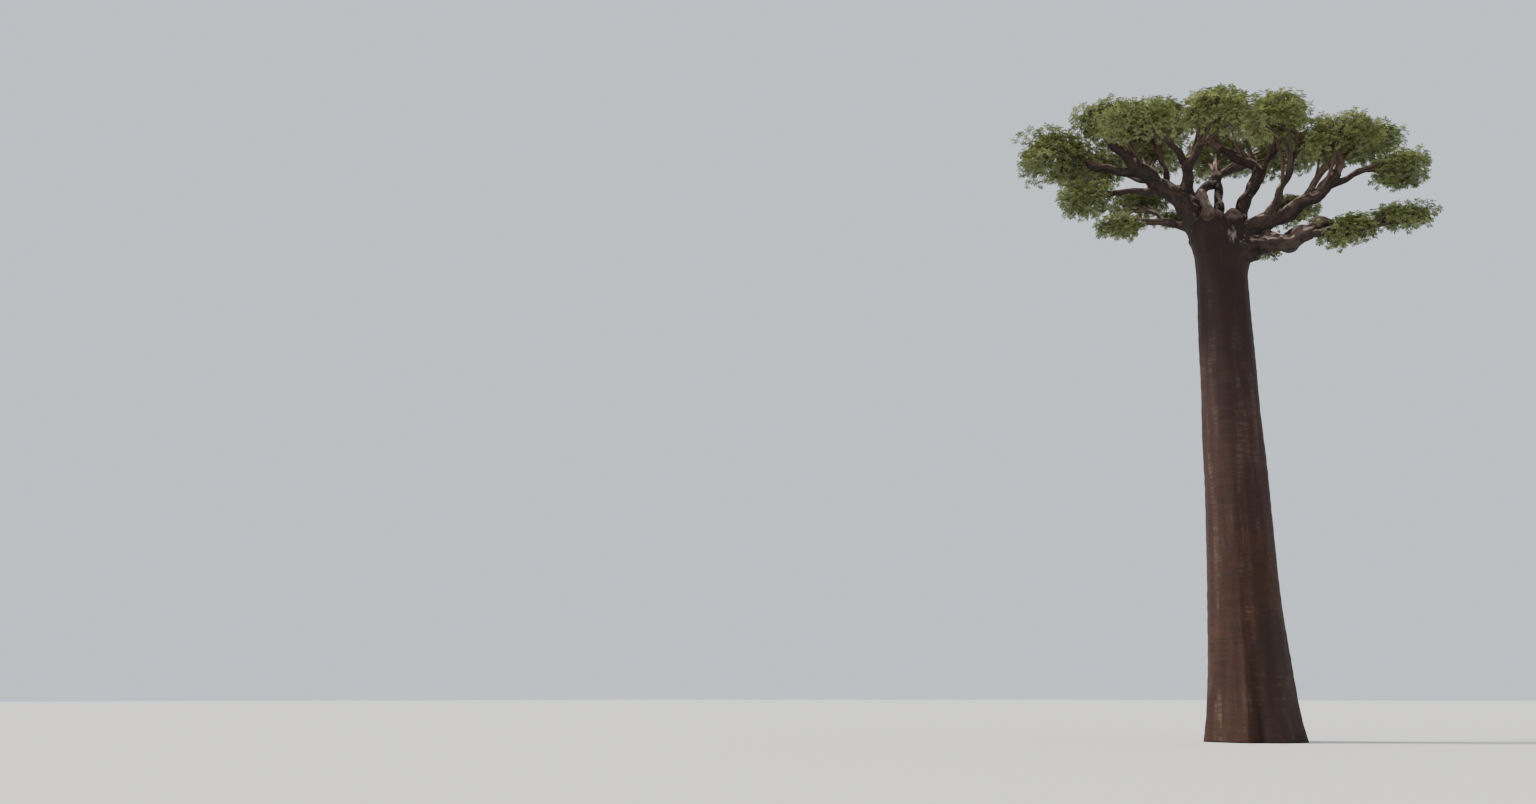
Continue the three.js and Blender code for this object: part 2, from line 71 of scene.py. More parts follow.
camera_data = bpy.data.cameras.new("camera")
camera_data.sensor_width = SENSOR_WIDTH
camera_data.lens = SENSOR_WIDTH * FOCAL_PIXELS / IMAGE_WIDTH
camera = put_in_scene("camera", camera_data)
camera.location = (0, -CAMERA_DISTANCE, EYE_HEIGHT)
camera.rotation_euler = Euler((np.pi / 2 + TILT_UP, 0, TURN_LEFT))
bpy.context.scene.camera = camera
print("the lens is", round(camera_data.lens, 1), "mm")

# %% [markdown]
# The studio is a pale floor under an even, pale sky, with one large soft light high on the left. A sun lamp
# with a wide angle gives shadows with soft edges, which model the crown without cutting it into black and
# white.

# %% Floor and light
FLOOR_RADIUS = 220.0
FLOOR_SIDES = 96
FLOOR_COLOUR = (0.62, 0.61, 0.58, 1)
FLOOR_ROUGHNESS = 0.9
SKY_COLOUR = (0.80, 0.86, 0.95, 1)
SUN_STRENGTH = 5.0
SUN_ANGLE = np.radians(9)
SUN_COLOUR = (1.0, 0.95, 0.87)
SUN_TURN = Euler((np.radians(38), 0, np.radians(-80)))


def new_material(name, roughness, gloss=0.5):
    """A material of that roughness and gloss. Returns it, its node tree and its shader's inputs."""
    material = bpy.data.materials.new(name)
    material.use_nodes = True
    inputs = material.node_tree.nodes["Principled BSDF"].inputs
    inputs["Roughness"].default_value = roughness
    inputs["Specular IOR Level"].default_value = gloss
    return material, material.node_tree, inputs


turn = np.linspace(0, 2 * np.pi, FLOOR_SIDES, endpoint=False)
rim = np.stack([FLOOR_RADIUS * np.cos(turn), FLOOR_RADIUS * np.sin(turn), np.zeros(FLOOR_SIDES)], axis=1)
floor_mesh = bpy.data.meshes.new("floor")
floor_mesh.from_pydata(rim.tolist(), [], [list(range(FLOOR_SIDES))])
pale_floor, _, floor_inputs = new_material("pale_floor", FLOOR_ROUGHNESS)
floor_inputs["Base Color"].default_value = FLOOR_COLOUR
floor_mesh.materials.append(pale_floor)
put_in_scene("floor", floor_mesh)

sun_data = bpy.data.lights.new("soft_sun", "SUN")
sun_data.energy = SUN_STRENGTH
sun_data.angle = SUN_ANGLE
sun_data.color = SUN_COLOUR
put_in_scene("soft_sun", sun_data).rotation_euler = SUN_TURN

world = bpy.data.worlds.new("even_sky")
world.use_nodes = True
world.node_tree.nodes["Background"].inputs["Color"].default_value = SKY_COLOUR
world.node_tree.nodes["Background"].inputs["Strength"].default_value = 1.0
bpy.context.scene.world = world
print("the floor is", 2 * FLOOR_RADIUS, "m across, and the sun", round(np.degrees(SUN_ANGLE)), "degrees")

# %% [markdown]
# A real baobab's bark is a thin, smooth skin over wet wood. It is reddish brown, with pale streaks that run
# up the trunk, fine rings across them, and small pits. A photograph of bark would repeat and would need
# unwrapping. Here the pattern is worked out from noise instead, and it is read at a place on the limb as if
# the limb were straight: two numbers across it and one along it. Each bark mesh stores that place as an
# attribute called grain, so the streaks follow every bend.

# %% Helpers for material nodes
def give(tree, socket, value):
    """Sets an input to a value, or links it to another node's output."""
    if isinstance(value, bpy.types.NodeSocket):
        tree.links.new(value, socket)
    else:
        socket.default_value = value


def add_node(tree, kind, **settings):
    """A node of that kind. Each setting goes to the input of that name, or else to the node's property."""
    node = tree.nodes.new(kind)
    for name, value in settings.items():
        if name in node.inputs:
            give(tree, node.inputs[name], value)
        else:
            setattr(node, name, value)
    return node


def new_group(name, kinds, outputs):
    """A node group with an input for each name and kind, and outputs that are plain numbers. Returns it and
    what comes in, to build it from."""
    group = bpy.data.node_groups.new(name, "ShaderNodeTree")
    for socket, kind in kinds.items():
        group.interface.new_socket(socket, in_out="INPUT", socket_type="NodeSocket" + kind)
    for socket in outputs:
        group.interface.new_socket(socket, in_out="OUTPUT", socket_type="NodeSocketFloat")
    return group, add_node(group, "NodeGroupInput").outputs


def place_group(tree, group, **settings):
    """Places a group in a material with its own values. Returns what comes out."""
    return add_node(tree, "ShaderNodeGroup", node_tree=group, **settings).outputs


def stretched_noise(tree, place, stretch, detail, roughness=0.55, swirl=0.0):
    """Noise whose features are 1 / stretch metres wide each way, and bent by the swirl."""
    place = add_node(tree, "ShaderNodeMapping", Vector=place, Scale=stretch).outputs["Vector"]
    look = {"Scale": 1.0, "Detail": detail, "Roughness": roughness, "Distortion": swirl}
    return add_node(tree, "ShaderNodeTexNoise", Vector=place, **look).outputs["Fac"]


def between_limits(tree, value, low, high):
    """A mask that is 0 up to the low limit, 1 from the high one, and smooth between them."""
    limits = {"From Min": low, "From Max": high}
    node = add_node(tree, "ShaderNodeMapRange", interpolation_type="SMOOTHSTEP", Value=value, **limits)
    return node.outputs["Result"]


def maths(tree, operation, first, second):
    """One step of arithmetic on two values."""
    node = add_node(tree, "ShaderNodeMath", operation=operation)
    give(tree, node.inputs[0], first)
    give(tree, node.inputs[1], second)
    return node.outputs["Value"]


def times(tree, first, second):
    """The product of two values."""
    return maths(tree, "MULTIPLY", first, second)


def partly(tree, mask, least, rest):
    """A mask that never falls to nothing: the least, plus the rest where the mask is full."""
    return maths(tree, "ADD", least, times(tree, mask, rest))


def mix(tree, mask, low, high):
    """A colour between two others."""
    node = add_node(tree, "ShaderNodeMix", data_type="RGBA")
    for number, value in ((0, mask), (6, low), (7, high)):
        give(tree, node.inputs[number], value)
    return node.outputs[2]

# %% The bark's pattern, as one node group
# Each layer of noise: how finely it is drawn along each direction, its detail, its roughness and its swirl.
LAYERS = {
    "ribs": ((2.4, 2.4, 0.18), 6, 0.62, 0.5),
    "wrinkles": ((1.5, 1.5, 11.0), 5, 0.68, 0.3),
    "patches": ((0.7, 0.7, 0.5), 4),
    "skin": ((24.0, 24.0, 16.0), 6, 0.6),
    "pores": ((7.0, 7.0, 12.0), 2),
}
# Each mask: the layer that it is cut from, and the two limits.
MASKS = {
    "Streaks": ("ribs", 0.47, 0.66),
    "Rings": ("wrinkles", 0.50, 0.60),
    "Stains": ("patches", 0.45, 0.72),
    "Pits": ("pores", 0.68, 0.76),
}
GAPS = ("patches", 0.42, 0.56)
DASHED = (0.15, 0.95)  # a streak's strength between two rings, and what a ring adds to it
GAPPED = (0.35, 0.65)  # the same outside and inside the patches, so that streaks have gaps
RAISED = {"ribs": 0.5, "wrinkles": 0.4, "skin": 0.3}  # each layer's part in the height of the bump
PIT_DEPTH = 0.35


def make_bark_pattern():
    """The group: Place goes in, and the masks and the bump's Height come out."""
    group, inside = new_group("bark_pattern", {"Place": "Vector"}, [*MASKS, "Height"])
    noise = {name: stretched_noise(group, inside["Place"], *layer) for name, layer in LAYERS.items()}
    made = {name: between_limits(group, noise[layer], *limits) for name, (layer, *limits) in MASKS.items()}
    gaps = between_limits(group, noise[GAPS[0]], *GAPS[1:])
    dashes = times(group, made["Streaks"], partly(group, made["Rings"], *DASHED))
    made["Streaks"] = times(group, dashes, partly(group, gaps, *GAPPED))
    height = 0.0
    for name, share in RAISED.items():
        height = maths(group, "ADD", height, times(group, noise[name], share))
    made["Height"] = maths(group, "SUBTRACT", height, times(group, made["Pits"], PIT_DEPTH))
    add_node(group, "NodeGroupOutput", **made)
    return group


bark_pattern = make_bark_pattern()
print("the bark pattern has", len(bark_pattern.nodes), "nodes")

# %% [markdown]
# Each bark finish is that one pattern with colours of its own, mixed one after the other: base, stains,
# streaks, then the dark pits and ring lines. Then comes painted light: patches that face up get a painted
# highlight, and those that face down get painted shade. Marks that sit in one place are masks round that
# place: the trunk darkens towards the head, partly its own darker tone and partly painted shade of the crown,
# the right side of its foot gets painted shade, and a patch of its skin has peeled below the head. The boughs
# darken where they leave the head, partly to the trunk's tone there and partly with painted shade in the fork.
# All this could be painted on, but masks that are worked out stay right when the shape changes. What several
# barks use is a node group, built once and placed in each with its own values.

# %% Painted highlight and shade, as a node group
PAINTED_LIGHT_NOISE = ((5.5, 5.5, 3.2), 6, 0.66)
# How far up, or down for the painted shade, a surface faces where each starts and where it is full, and its
# strength.
PAINTED_LIGHT_LIMITS = {"PaintedHighlight": (0.25, 0.92, 0.85), "PaintedShade": (0.1, 0.85, 0.8)}


def make_painted_light():
    """The group: Place, Normal and Patchy go in, and a mask of painted highlight and one of painted shade come
    out.
    Each is how far the surface faces up or down, plus noise times Patchy, between the limits."""
    kinds = {"Place": "Vector", "Normal": "Vector", "Patchy": "Float"}
    group, inside = new_group("painted_light", kinds, PAINTED_LIGHT_LIMITS)
    facing = add_node(group, "ShaderNodeSeparateXYZ", Vector=inside["Normal"]).outputs["Z"]
    patches = maths(group, "SUBTRACT", stretched_noise(group, inside["Place"], *PAINTED_LIGHT_NOISE), 0.5)
    up = maths(group, "ADD", facing, times(group, patches, inside["Patchy"]))
    masks = {}
    for side, (name, (low, high, strength)) in zip((up, times(group, up, -1.0)), PAINTED_LIGHT_LIMITS.items()):
        masks[name] = times(group, between_limits(group, side, low, high), strength)
    add_node(group, "NodeGroupOutput", **masks)
    return group


painted_light = make_painted_light()
print("the weather has the masks", list(PAINTED_LIGHT_LIMITS))

# %% A mark in one place, as a node group
def make_mark():
    """The group: it measures how far Place is from the Middle of a mark, in shares of its Size each way. The
    Mask that comes out is 1 up to the share Full, and 0 from the share Gone on."""
    kinds = {"Place": "Vector", "Middle": "Vector", "Size": "Vector", "Full": "Float", "Gone": "Float"}
    group, inside = new_group("mark", kinds, ["Mask"])
    away = add_node(group, "ShaderNodeMapping", vector_type="TEXTURE", Vector=inside["Place"])
    give(group, away.inputs["Location"], inside["Middle"])
    give(group, away.inputs["Scale"], inside["Size"])
    far = add_node(group, "ShaderNodeVectorMath", operation="LENGTH", Vector=away.outputs["Vector"])
    faded = between_limits(group, far.outputs["Value"], inside["Full"], inside["Gone"])
    add_node(group, "NodeGroupOutput", Mask=maths(group, "SUBTRACT", 1.0, faded))
    return group


mark = make_mark()
print("a mark has", len(mark.nodes), "nodes")

# %% Bark finishes
# The dark of the pits and ring lines, and also the trunk's painted shade where it faces down.
DARK_LINES_AND_SHADE = (0.012, 0.008, 0.007, 1)
RING_SHADE = 0.45
BUMP_STRENGTH = 0.7
BARK_GLOSS = 0.3
# Each bark: base, stain and streak, then the colours of its painted highlight and painted shade and how
# patchily they lie, then the depth of its bump in metres and its roughness.
BARKS = {
    "trunk_bark": (
        ((0.035, 0.0128, 0.0068, 1), (0.050, 0.020, 0.011, 1), (0.160, 0.098, 0.066, 1)),
        ((0.260, 0.185, 0.140, 1), DARK_LINES_AND_SHADE, 0.9),
        (0.05, 0.8),
    ),
    "bough_bark": (
        ((0.036, 0.020, 0.015, 1), (0.062, 0.038, 0.028, 1), (0.150, 0.104, 0.082, 1)),
        ((0.490, 0.372, 0.295, 1), (0.009, 0.007, 0.006, 1), 3.3),
        (0.06, 0.78),
    ),
    # The stub's bark is paler than the boughs', partly its own paler wood and partly painted light that makes up
    # for the shadow the boughs cast on it.
    "stub_bark": (
        ((0.085, 0.058, 0.046, 1), (0.150, 0.108, 0.086, 1), (0.440, 0.345, 0.280, 1)),
        ((0.620, 0.500, 0.420, 1), (0.016, 0.010, 0.008, 1), 3.0),
        (0.06, 0.75),
    ),
    "twig_bark": (
        ((0.105, 0.068, 0.048, 1), (0.150, 0.100, 0.072, 1), (0.220, 0.155, 0.114, 1)),
        ((0.400, 0.300, 0.230, 1), (0.024, 0.015, 0.012, 1), 0.6),
        (0.02, 0.8),
    ),
}


def grain_place(tree):
    """The place on a straight limb that the mesh stores for its bark."""
    return add_node(tree, "ShaderNodeAttribute", attribute_name="grain").outputs["Vector"]


def object_place(tree):
    """The place in the tree."""
    return add_node(tree, "ShaderNodeTexCoord").outputs["Object"]


def bark_material(name, before=(), after=()):
    """A bark from its row of BARKS. What is mixed in before and after the painted highlight and shade is given
    as functions of the node tree and of the colour so far."""
    (base, stain, streak), (pale, dark, patchy), (bump, roughness) = BARKS[name]
    material, tree, shader = new_material(name, roughness, BARK_GLOSS)
    grain = grain_place(tree)
    normal = add_node(tree, "ShaderNodeNewGeometry").outputs["Normal"]
    pattern = place_group(tree, bark_pattern, Place=grain)
    masks = place_group(tree, painted_light, Place=grain, Normal=normal, Patchy=patchy)
    colour = mix(tree, pattern["Stains"], base, stain)
    colour = mix(tree, pattern["Streaks"], colour, streak)
    lines = maths(tree, "MAXIMUM", times(tree, pattern["Rings"], RING_SHADE), pattern["Pits"])
    colour = mix(tree, lines, colour, DARK_LINES_AND_SHADE)
    for blend in before:
        colour = blend(tree, colour)
    # Painted highlight where the surface faces up, and painted shade where it faces down.
    colour = mix(tree, masks["PaintedHighlight"], colour, pale)
    colour = mix(tree, masks["PaintedShade"], colour, dark)
    for blend in after:
        colour = blend(tree, colour)
    relief = add_node(tree, "ShaderNodeBump", Strength=BUMP_STRENGTH, Distance=bump, Height=pattern["Height"])
    give(tree, shader["Normal"], relief.outputs["Normal"])
    give(tree, shader["Base Color"], colour)
    return material


stub_bark = bark_material("stub_bark")
twig_bark = bark_material("twig_bark")
print("the twigs' bark has", len(twig_bark.node_tree.nodes), "nodes")

# %% Painted shade, darker tone and a peeled patch
# The trunk's top darkens partly in its own tone and partly with painted shade of the crown.
TOP_SHADE_AND_TONE = (4.0, 17.0, 0.62)  # the heights where the trunk starts to darken and is darkest, and how much
TOP_SHADE_AND_TONE_COLOUR = (0.0150, 0.0075, 0.0092, 1)
# Each mark: its middle, its size each way, and the shares of that size where it is full and gone.
# The boughs' roots darken round the head, partly to the trunk's tone and partly with painted shade in the fork
# under the crown.
HEAD = ((-0.15, 0, 18.3), (1, 1, 1), 0.9, 2.0)
HEAD_SHADE_AND_TONE_COLOUR = (0.030, 0.017, 0.013, 1)
# Painted shade on the right side of the trunk's foot, right of the step.
FOOT_SHADE = ((1.02, -1.0, 1.6), (1.35, 1.4, 3.4), 0.76, 0.95)
FOOT_SHADE_COLOUR = (0.0170, 0.0092, 0.0078, 1)
FOOT_SHADE_STRENGTH = 0.5
PEELED = ((0.30, -0.95, 17.95), (0.19, 0.5, 0.40), 0.5, 1.0)
PEELED_COLOUR = (0.185, 0.156, 0.138, 1)
RAGGED = ((13.0, 13.0, 4.0), 5)
RAGGED_LIMITS = (0.42, 0.58)


def mark_mask(tree, middle, size, full, gone):
    """The mask of a mark in one place."""
    place = object_place(tree)
    return place_group(tree, mark, Place=place, Middle=middle, Size=size, Full=full, Gone=gone)["Mask"]


def darken_top_shade_and_tone(tree, colour):
    """Darkens the trunk by its height: partly its own darker tone towards the head, partly painted shade of the
    crown.
    """
    height = add_node(tree, "ShaderNodeSeparateXYZ", Vector=object_place(tree)).outputs["Z"]
    low, high, strength = TOP_SHADE_AND_TONE
    mask = times(tree, between_limits(tree, height, low, high), strength)
    return mix(tree, mask, colour, TOP_SHADE_AND_TONE_COLOUR)


def paint_foot_shade(tree, colour):
    """Darkens the right side of the trunk's foot with painted shade."""
    return mix(tree, times(tree, mark_mask(tree, *FOOT_SHADE), FOOT_SHADE_STRENGTH), colour, FOOT_SHADE_COLOUR)


def peel(tree, colour):
    """The ragged pale patch under the head."""
    ragged = between_limits(tree, stretched_noise(tree, grain_place(tree), *RAGGED), *RAGGED_LIMITS)
    return mix(tree, times(tree, mark_mask(tree, *PEELED), ragged), colour, PEELED_COLOUR)


def darken_head_shade_and_tone(tree, colour):
    """Darkens the boughs round the middle of the head, partly to the trunk's own tone there and partly with
    painted shade in the fork under the crown.
    """
    return mix(tree, mark_mask(tree, *HEAD), colour, HEAD_SHADE_AND_TONE_COLOUR)


trunk_bark = bark_material("trunk_bark", before=[darken_top_shade_and_tone, paint_foot_shade], after=[peel])
bough_bark = bark_material("bough_bark", before=[darken_head_shade_and_tone])
print("the trunk's bark has", len(trunk_bark.node_tree.nodes), "nodes")

# %% [markdown]
# A mesh is two arrays: corners, and the faces between them. These helpers take rings of points, as numpy
# arrays, and skin them. One ring for each step along a limb is a grid of two parameters, along and around,
# so all faces come from one formula on the grid's row and column numbers. Both ends close on a middle point.

# %% From triangles to a piece
def fill(collection, name, values, kind):
    """Copies an array into one property of all the items of a mesh."""
    collection.foreach_set(name, np.ascontiguousarray(values, dtype=kind).ravel())


def make_piece(name, corners, faces, materials, nodes):
    """Puts a piece made of triangles in the frame, in the place of some solids. Returns its mesh."""
    mesh = bpy.data.meshes.new(name)
    mesh.vertices.add(len(corners))
    fill(mesh.vertices, "co", corners, np.float32)
    mesh.loops.add(faces.size)
    fill(mesh.loops, "vertex_index", faces, np.int32)
    mesh.polygons.add(len(faces))
    fill(mesh.polygons, "loop_start", np.arange(len(faces)) * 3, np.int32)
    for material in materials:
        mesh.materials.append(material)
    mesh.update(calc_edges=True)
    piece = put_in_scene(name, mesh)
    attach(piece, "root")
    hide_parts(*nodes)
    print(name, "has", len(faces), "triangles")
    return mesh


print("the frame has", len(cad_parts), "nodes for the pieces to replace")

# %% From rings of points to triangles
def join(parts):
    """One mesh from several, each (corners, faces, values): the faces' numbers go on from part to part."""
    corners, faces, values = zip(*parts)
    first = np.cumsum([0, *map(len, corners[:-1])])
    faces = [numbers + n for numbers, n in zip(faces, first)]
    return np.concatenate(corners), np.concatenate(faces), np.concatenate(values)


def skin_faces(rings, sides):
    """Triangles between the rings of a limb, and fans to one middle point at each end. Corner r * sides + k
    is corner k of ring r, and the two middle points come after all rings."""
    r, k = np.meshgrid(np.arange(rings - 1), np.arange(sides), indexing="ij")
    a = r * sides + k
    b = r * sides + (k + 1) % sides
    wall = np.concatenate([np.stack([a, b, b + sides], -1), np.stack([a, b + sides, a + sides], -1)])
    k = np.arange(sides)
    k_next = (k + 1) % sides
    first = np.full(sides, rings * sides)
    top = (rings - 1) * sides
    foot_fan = np.stack([first, k_next, k], -1)
    head_fan = np.stack([first + 1, top + k, top + k_next], -1)
    return np.concatenate([wall.reshape(-1, 3), foot_fan, head_fan])


def with_ends(rings):
    """The points of all rings in one row, then the middle of the first ring and of the last."""
    return np.concatenate([rings.reshape(-1, 3), rings[[0, -1]].mean(axis=1)])


def bark_piece(name, limbs, material, nodes):
    """A smooth piece of bark that joins limbs, each (rings, grain), and stores their grain."""
    parts = [(with_ends(rings), skin_faces(*rings.shape[:2]), with_ends(grain)) for rings, grain in limbs]
    corners, faces, grain = join(parts)
    mesh = make_piece(name, corners, faces, [material], nodes)
    fill(mesh.polygons, "use_smooth", np.ones(len(faces)), bool)
    fill(mesh.attributes.new("grain", "FLOAT_VECTOR", "POINT").data, "vector", grain, np.float32)


print("two rings of 8 corners make", len(skin_faces(2, 8)), "triangles")

# %% [markdown]
# The trunk is a function of height and angle. Its radius tapers up to the neck, widens again under the
# boughs, flares into the ground, and is folded at the foot, more so on one side. The foot's left side
# bulges, and an upright step parts it from the right. On top of that comes the skin: broad, shallow dents,
# upright folds and rings across them, from sums of sine waves. The head closes as a low dome.

# %% The trunk's form, in metres
TRUNK_TOP = 19.1
NECK_HEIGHT = 16.8
NECK_RADIUS = 0.9
TAPER = 0.5
TAPER_POWER = 1.25
HEAD_SWELL = 0.14
SWELL_POWER = 1.5
HEAD_ROUND = 1.0
FLARE = 0.21
FLARE_HEIGHT = 1.5
LEAN_X = -0.15
FLUTES = 7
FLUTE_DEPTH = 0.075
FLUTE_TURN = 0.7
BUTTRESS = 0.07
BUTTRESS_HEIGHT = 2.4
BUTTRESS_BEARING = np.radians(-32)
BUTTRESS_SPREAD = np.radians(34)
# The bearing, half width, depth and height of two forms of the foot: a step, and a bulge on its left side.
STEP = (np.radians(-92), np.radians(5), 0.13, 4.0)
BULGE = (np.radians(180), np.radians(42), 0.14, 4.0)


def turned(a, bearing):
    """The angle from a bearing to a, between half a turn back and half a turn on."""
    return (a - bearing + np.pi) % (2 * np.pi) - np.pi


def trunk_axis(z):
    """The middle of the trunk at height z: it leans by a quarter of a sine wave up to the neck."""
    z = np.asarray(z, dtype=float)
    lean = LEAN_X * np.sin(np.minimum(z / NECK_HEIGHT, 1) * np.pi / 2)
    return np.stack([lean, np.zeros_like(z), z], axis=-1)


def trunk_radius(z, a):
    """Taper, plus flare and folds that fade upward, plus a buttress to one side, plus the swollen head."""
    below = np.maximum(1 - z / NECK_HEIGHT, 0)
    above = np.maximum(z - NECK_HEIGHT, 0) / (TRUNK_TOP - NECK_HEIGHT)
    foot = np.exp(-z / FLARE_HEIGHT)
    off = turned(a, BUTTRESS_BEARING) / BUTTRESS_SPREAD
    buttress = BUTTRESS * np.exp(-(off**2) - z / BUTTRESS_HEIGHT)
    flutes = FLUTE_DEPTH * foot * np.cos(FLUTES * a + FLUTE_TURN)
    swell = HEAD_SWELL * above**SWELL_POWER
    return NECK_RADIUS + TAPER * below**TAPER_POWER + FLARE * foot + swell + buttress + flutes


def foot_relief(z, a):
    """How far the foot stands out. The bulge is a bell curve round its bearing. The step is the slope of one:
    a fold left of its bearing and a groove right of it. Both die out upward."""
    step, bulge = [turned(a, bearing) / wide for bearing, wide, _, _ in (STEP, BULGE)]
    fold = -STEP[2] * step * np.exp(0.5 - step**2 / 2 - (z / STEP[3]) ** 2)
    return fold + BULGE[2] * np.exp(-(bulge**2) - (z / BULGE[3]) ** 2)


print("the trunk's neck is", 2 * NECK_RADIUS, "m across, and the head's middle is at", trunk_axis(TRUNK_TOP))

# %% The trunk's skin
TRUNK_SIDES = 200
TRUNK_RINGS = 260
DOME_RINGS = 16
DOME_FULLNESS = 0.7  # 1 would make the dome half an egg, and less makes it blunter
DENTS = (0.014, (1.3, 1.3, 3.2))  # depth, and the length of a wave across and along the trunk
FOLDS = (0.010, (0.45, 0.45, 3.8))
RINGS = (0.0045, (1.4, 1.4, 0.30))
SCAR = (17.9, np.radians(184), 0.13, 0.16, 0.05)  # height, bearing, half height, half width and depth
WAVES = 7
LOUDNESS = 1.4


def waves(place, size, seed):
    """Smooth noise between about -1 and 1: the sum of a few sine waves in seeded directions, where size
    gives the length of a wave along each of the three directions of place."""
    dice = np.random.default_rng(seed)
    way = dice.normal(size=(WAVES, 3))
    way /= np.linalg.norm(way, axis=1, keepdims=True)
    phase = dice.uniform(0, 2 * np.pi, WAVES)
    total = np.sin(2 * np.pi * (place / np.asarray(size)) @ way.T + phase).sum(axis=-1)
    return total * np.sqrt(2 / WAVES) / LOUDNESS


def trunk_shape():
    """Rings of points for the whole trunk, and the place of each as if the trunk were straight."""
    straight = np.linspace(0, TRUNK_TOP - HEAD_ROUND, TRUNK_RINGS)
    rise = np.linspace(0, 1, DOME_RINGS + 1)[1:-1] * np.pi / 2
    z = np.concatenate([straight, TRUNK_TOP - HEAD_ROUND * (1 - np.sin(rise))])
    closing = np.concatenate([np.ones(TRUNK_RINGS), np.cos(rise) ** DOME_FULLNESS])
    a = np.linspace(0, 2 * np.pi, TRUNK_SIDES, endpoint=False)
    zz, aa = np.meshgrid(z, a, indexing="ij")
    radius = trunk_radius(zz, aa)
    grain = np.stack([radius * np.cos(aa), radius * np.sin(aa), zz], axis=-1)
    for seed, (depth, size) in enumerate((DENTS, FOLDS, RINGS)):
        radius = radius + depth * waves(grain, size, seed)
    radius = radius + foot_relief(zz, aa)
    height, bearing, tall, wide, deep = SCAR
    across = turned(aa, bearing) * radius
    radius = radius - deep * np.exp(-(((zz - height) / tall) ** 2) - (across / wide) ** 2)
    radius = radius * closing[:, None]
    outward = np.stack([np.cos(aa), np.sin(aa), np.zeros_like(aa)], axis=-1)
    return trunk_axis(zz) + radius[..., None] * outward, grain


trunk_rings, trunk_grain = trunk_shape()
print("the trunk has", trunk_rings.shape[0], "rings of", trunk_rings.shape[1], "corners")

# %% [markdown]
# The boughs of a baobab leave the trunk's head like fingers: thick at once, bent, and forked into thinner
# ones. Each is given by where it leaves, the direction it leaves and arrives in, and how thick it is at both
# ends. A Bezier curve runs between them. A straight tube along it would look like pipework, so the curve
# also wanders a little, and the tube gets a collar at its root, knuckles, folds and rings.

# %% The plan of the boughs and of the masses of leaves, in metres
# A mass of leaves has a middle, and half sizes along X, Y and Z.
MASSES = {
    "left_rise": ((-3.75, -1.5, 22.42), (1.6, 1.9, 0.9)),
    "left_tip": ((-5.95, -0.3, 21.85), (1.75, 2.1, 1.2)),
    "left_low": ((-4.9, -0.1, 20.0), (1.35, 1.6, 0.72)),
    "left_back": ((-4.9, 2.6, 22.2), (1.65, 1.8, 0.95)),
    "left_under": ((-3.0, 1.4, 20.15), (1.3, 1.3, 0.65)),
    "left_foot": ((-3.7, -0.3, 18.74), (1.05, 1.1, 0.6)),
    "left_spray": ((-1.9, 1.2, 19.32), (0.75, 0.75, 0.4)),
    "front_left": ((-2.6, -3.4, 21.66), (1.75, 1.85, 0.76)),
    "front": ((0, -3.7, 21.5), (1.7, 1.85, 0.72)),
    "front_right": ((1.85, -3.1, 21.28), (1.5, 1.85, 0.82)),
    "crown_left": ((-2.2, 0.1, 22.75), (1.8, 2.0, 0.97)),
    "crown": ((-0.1, 0.15, 22.95), (1.5, 2.05, 0.92)),
    "crown_right": ((2.0, -0.5, 22.2), (1.4, 2.0, 1.0)),
    "back_left": ((-2.7, 3.5, 22.9), (1.75, 1.8, 0.82)),
    "back": ((0, 3.9, 22.6), (1.7, 1.8, 1.15)),
    "back_right": ((2.4, 3.4, 22.35), (1.7, 1.8, 1.05)),
    "right_rise": ((4.0, -1.3, 20.95), (1.75, 1.85, 0.95)),
    "right_tip": ((6.15, -0.1, 20.0), (1.15, 2.0, 0.68)),
    "right_back": ((5.1, 2.0, 21.85), (1.7, 1.85, 1.0)),
    "right_low": ((4.2, -0.1, 17.93), (1.4, 1.4, 0.75)),
    "right_low_tip": ((6.1, 0, 18.27), (1.45, 1.3, 0.56)),
    "right_back_low": ((2.65, 2.8, 19.8), (1.1, 1.2, 0.78)),
    "right_foot": ((1.5, 0.8, 17.62), (0.55, 0.65, 0.32)),
}

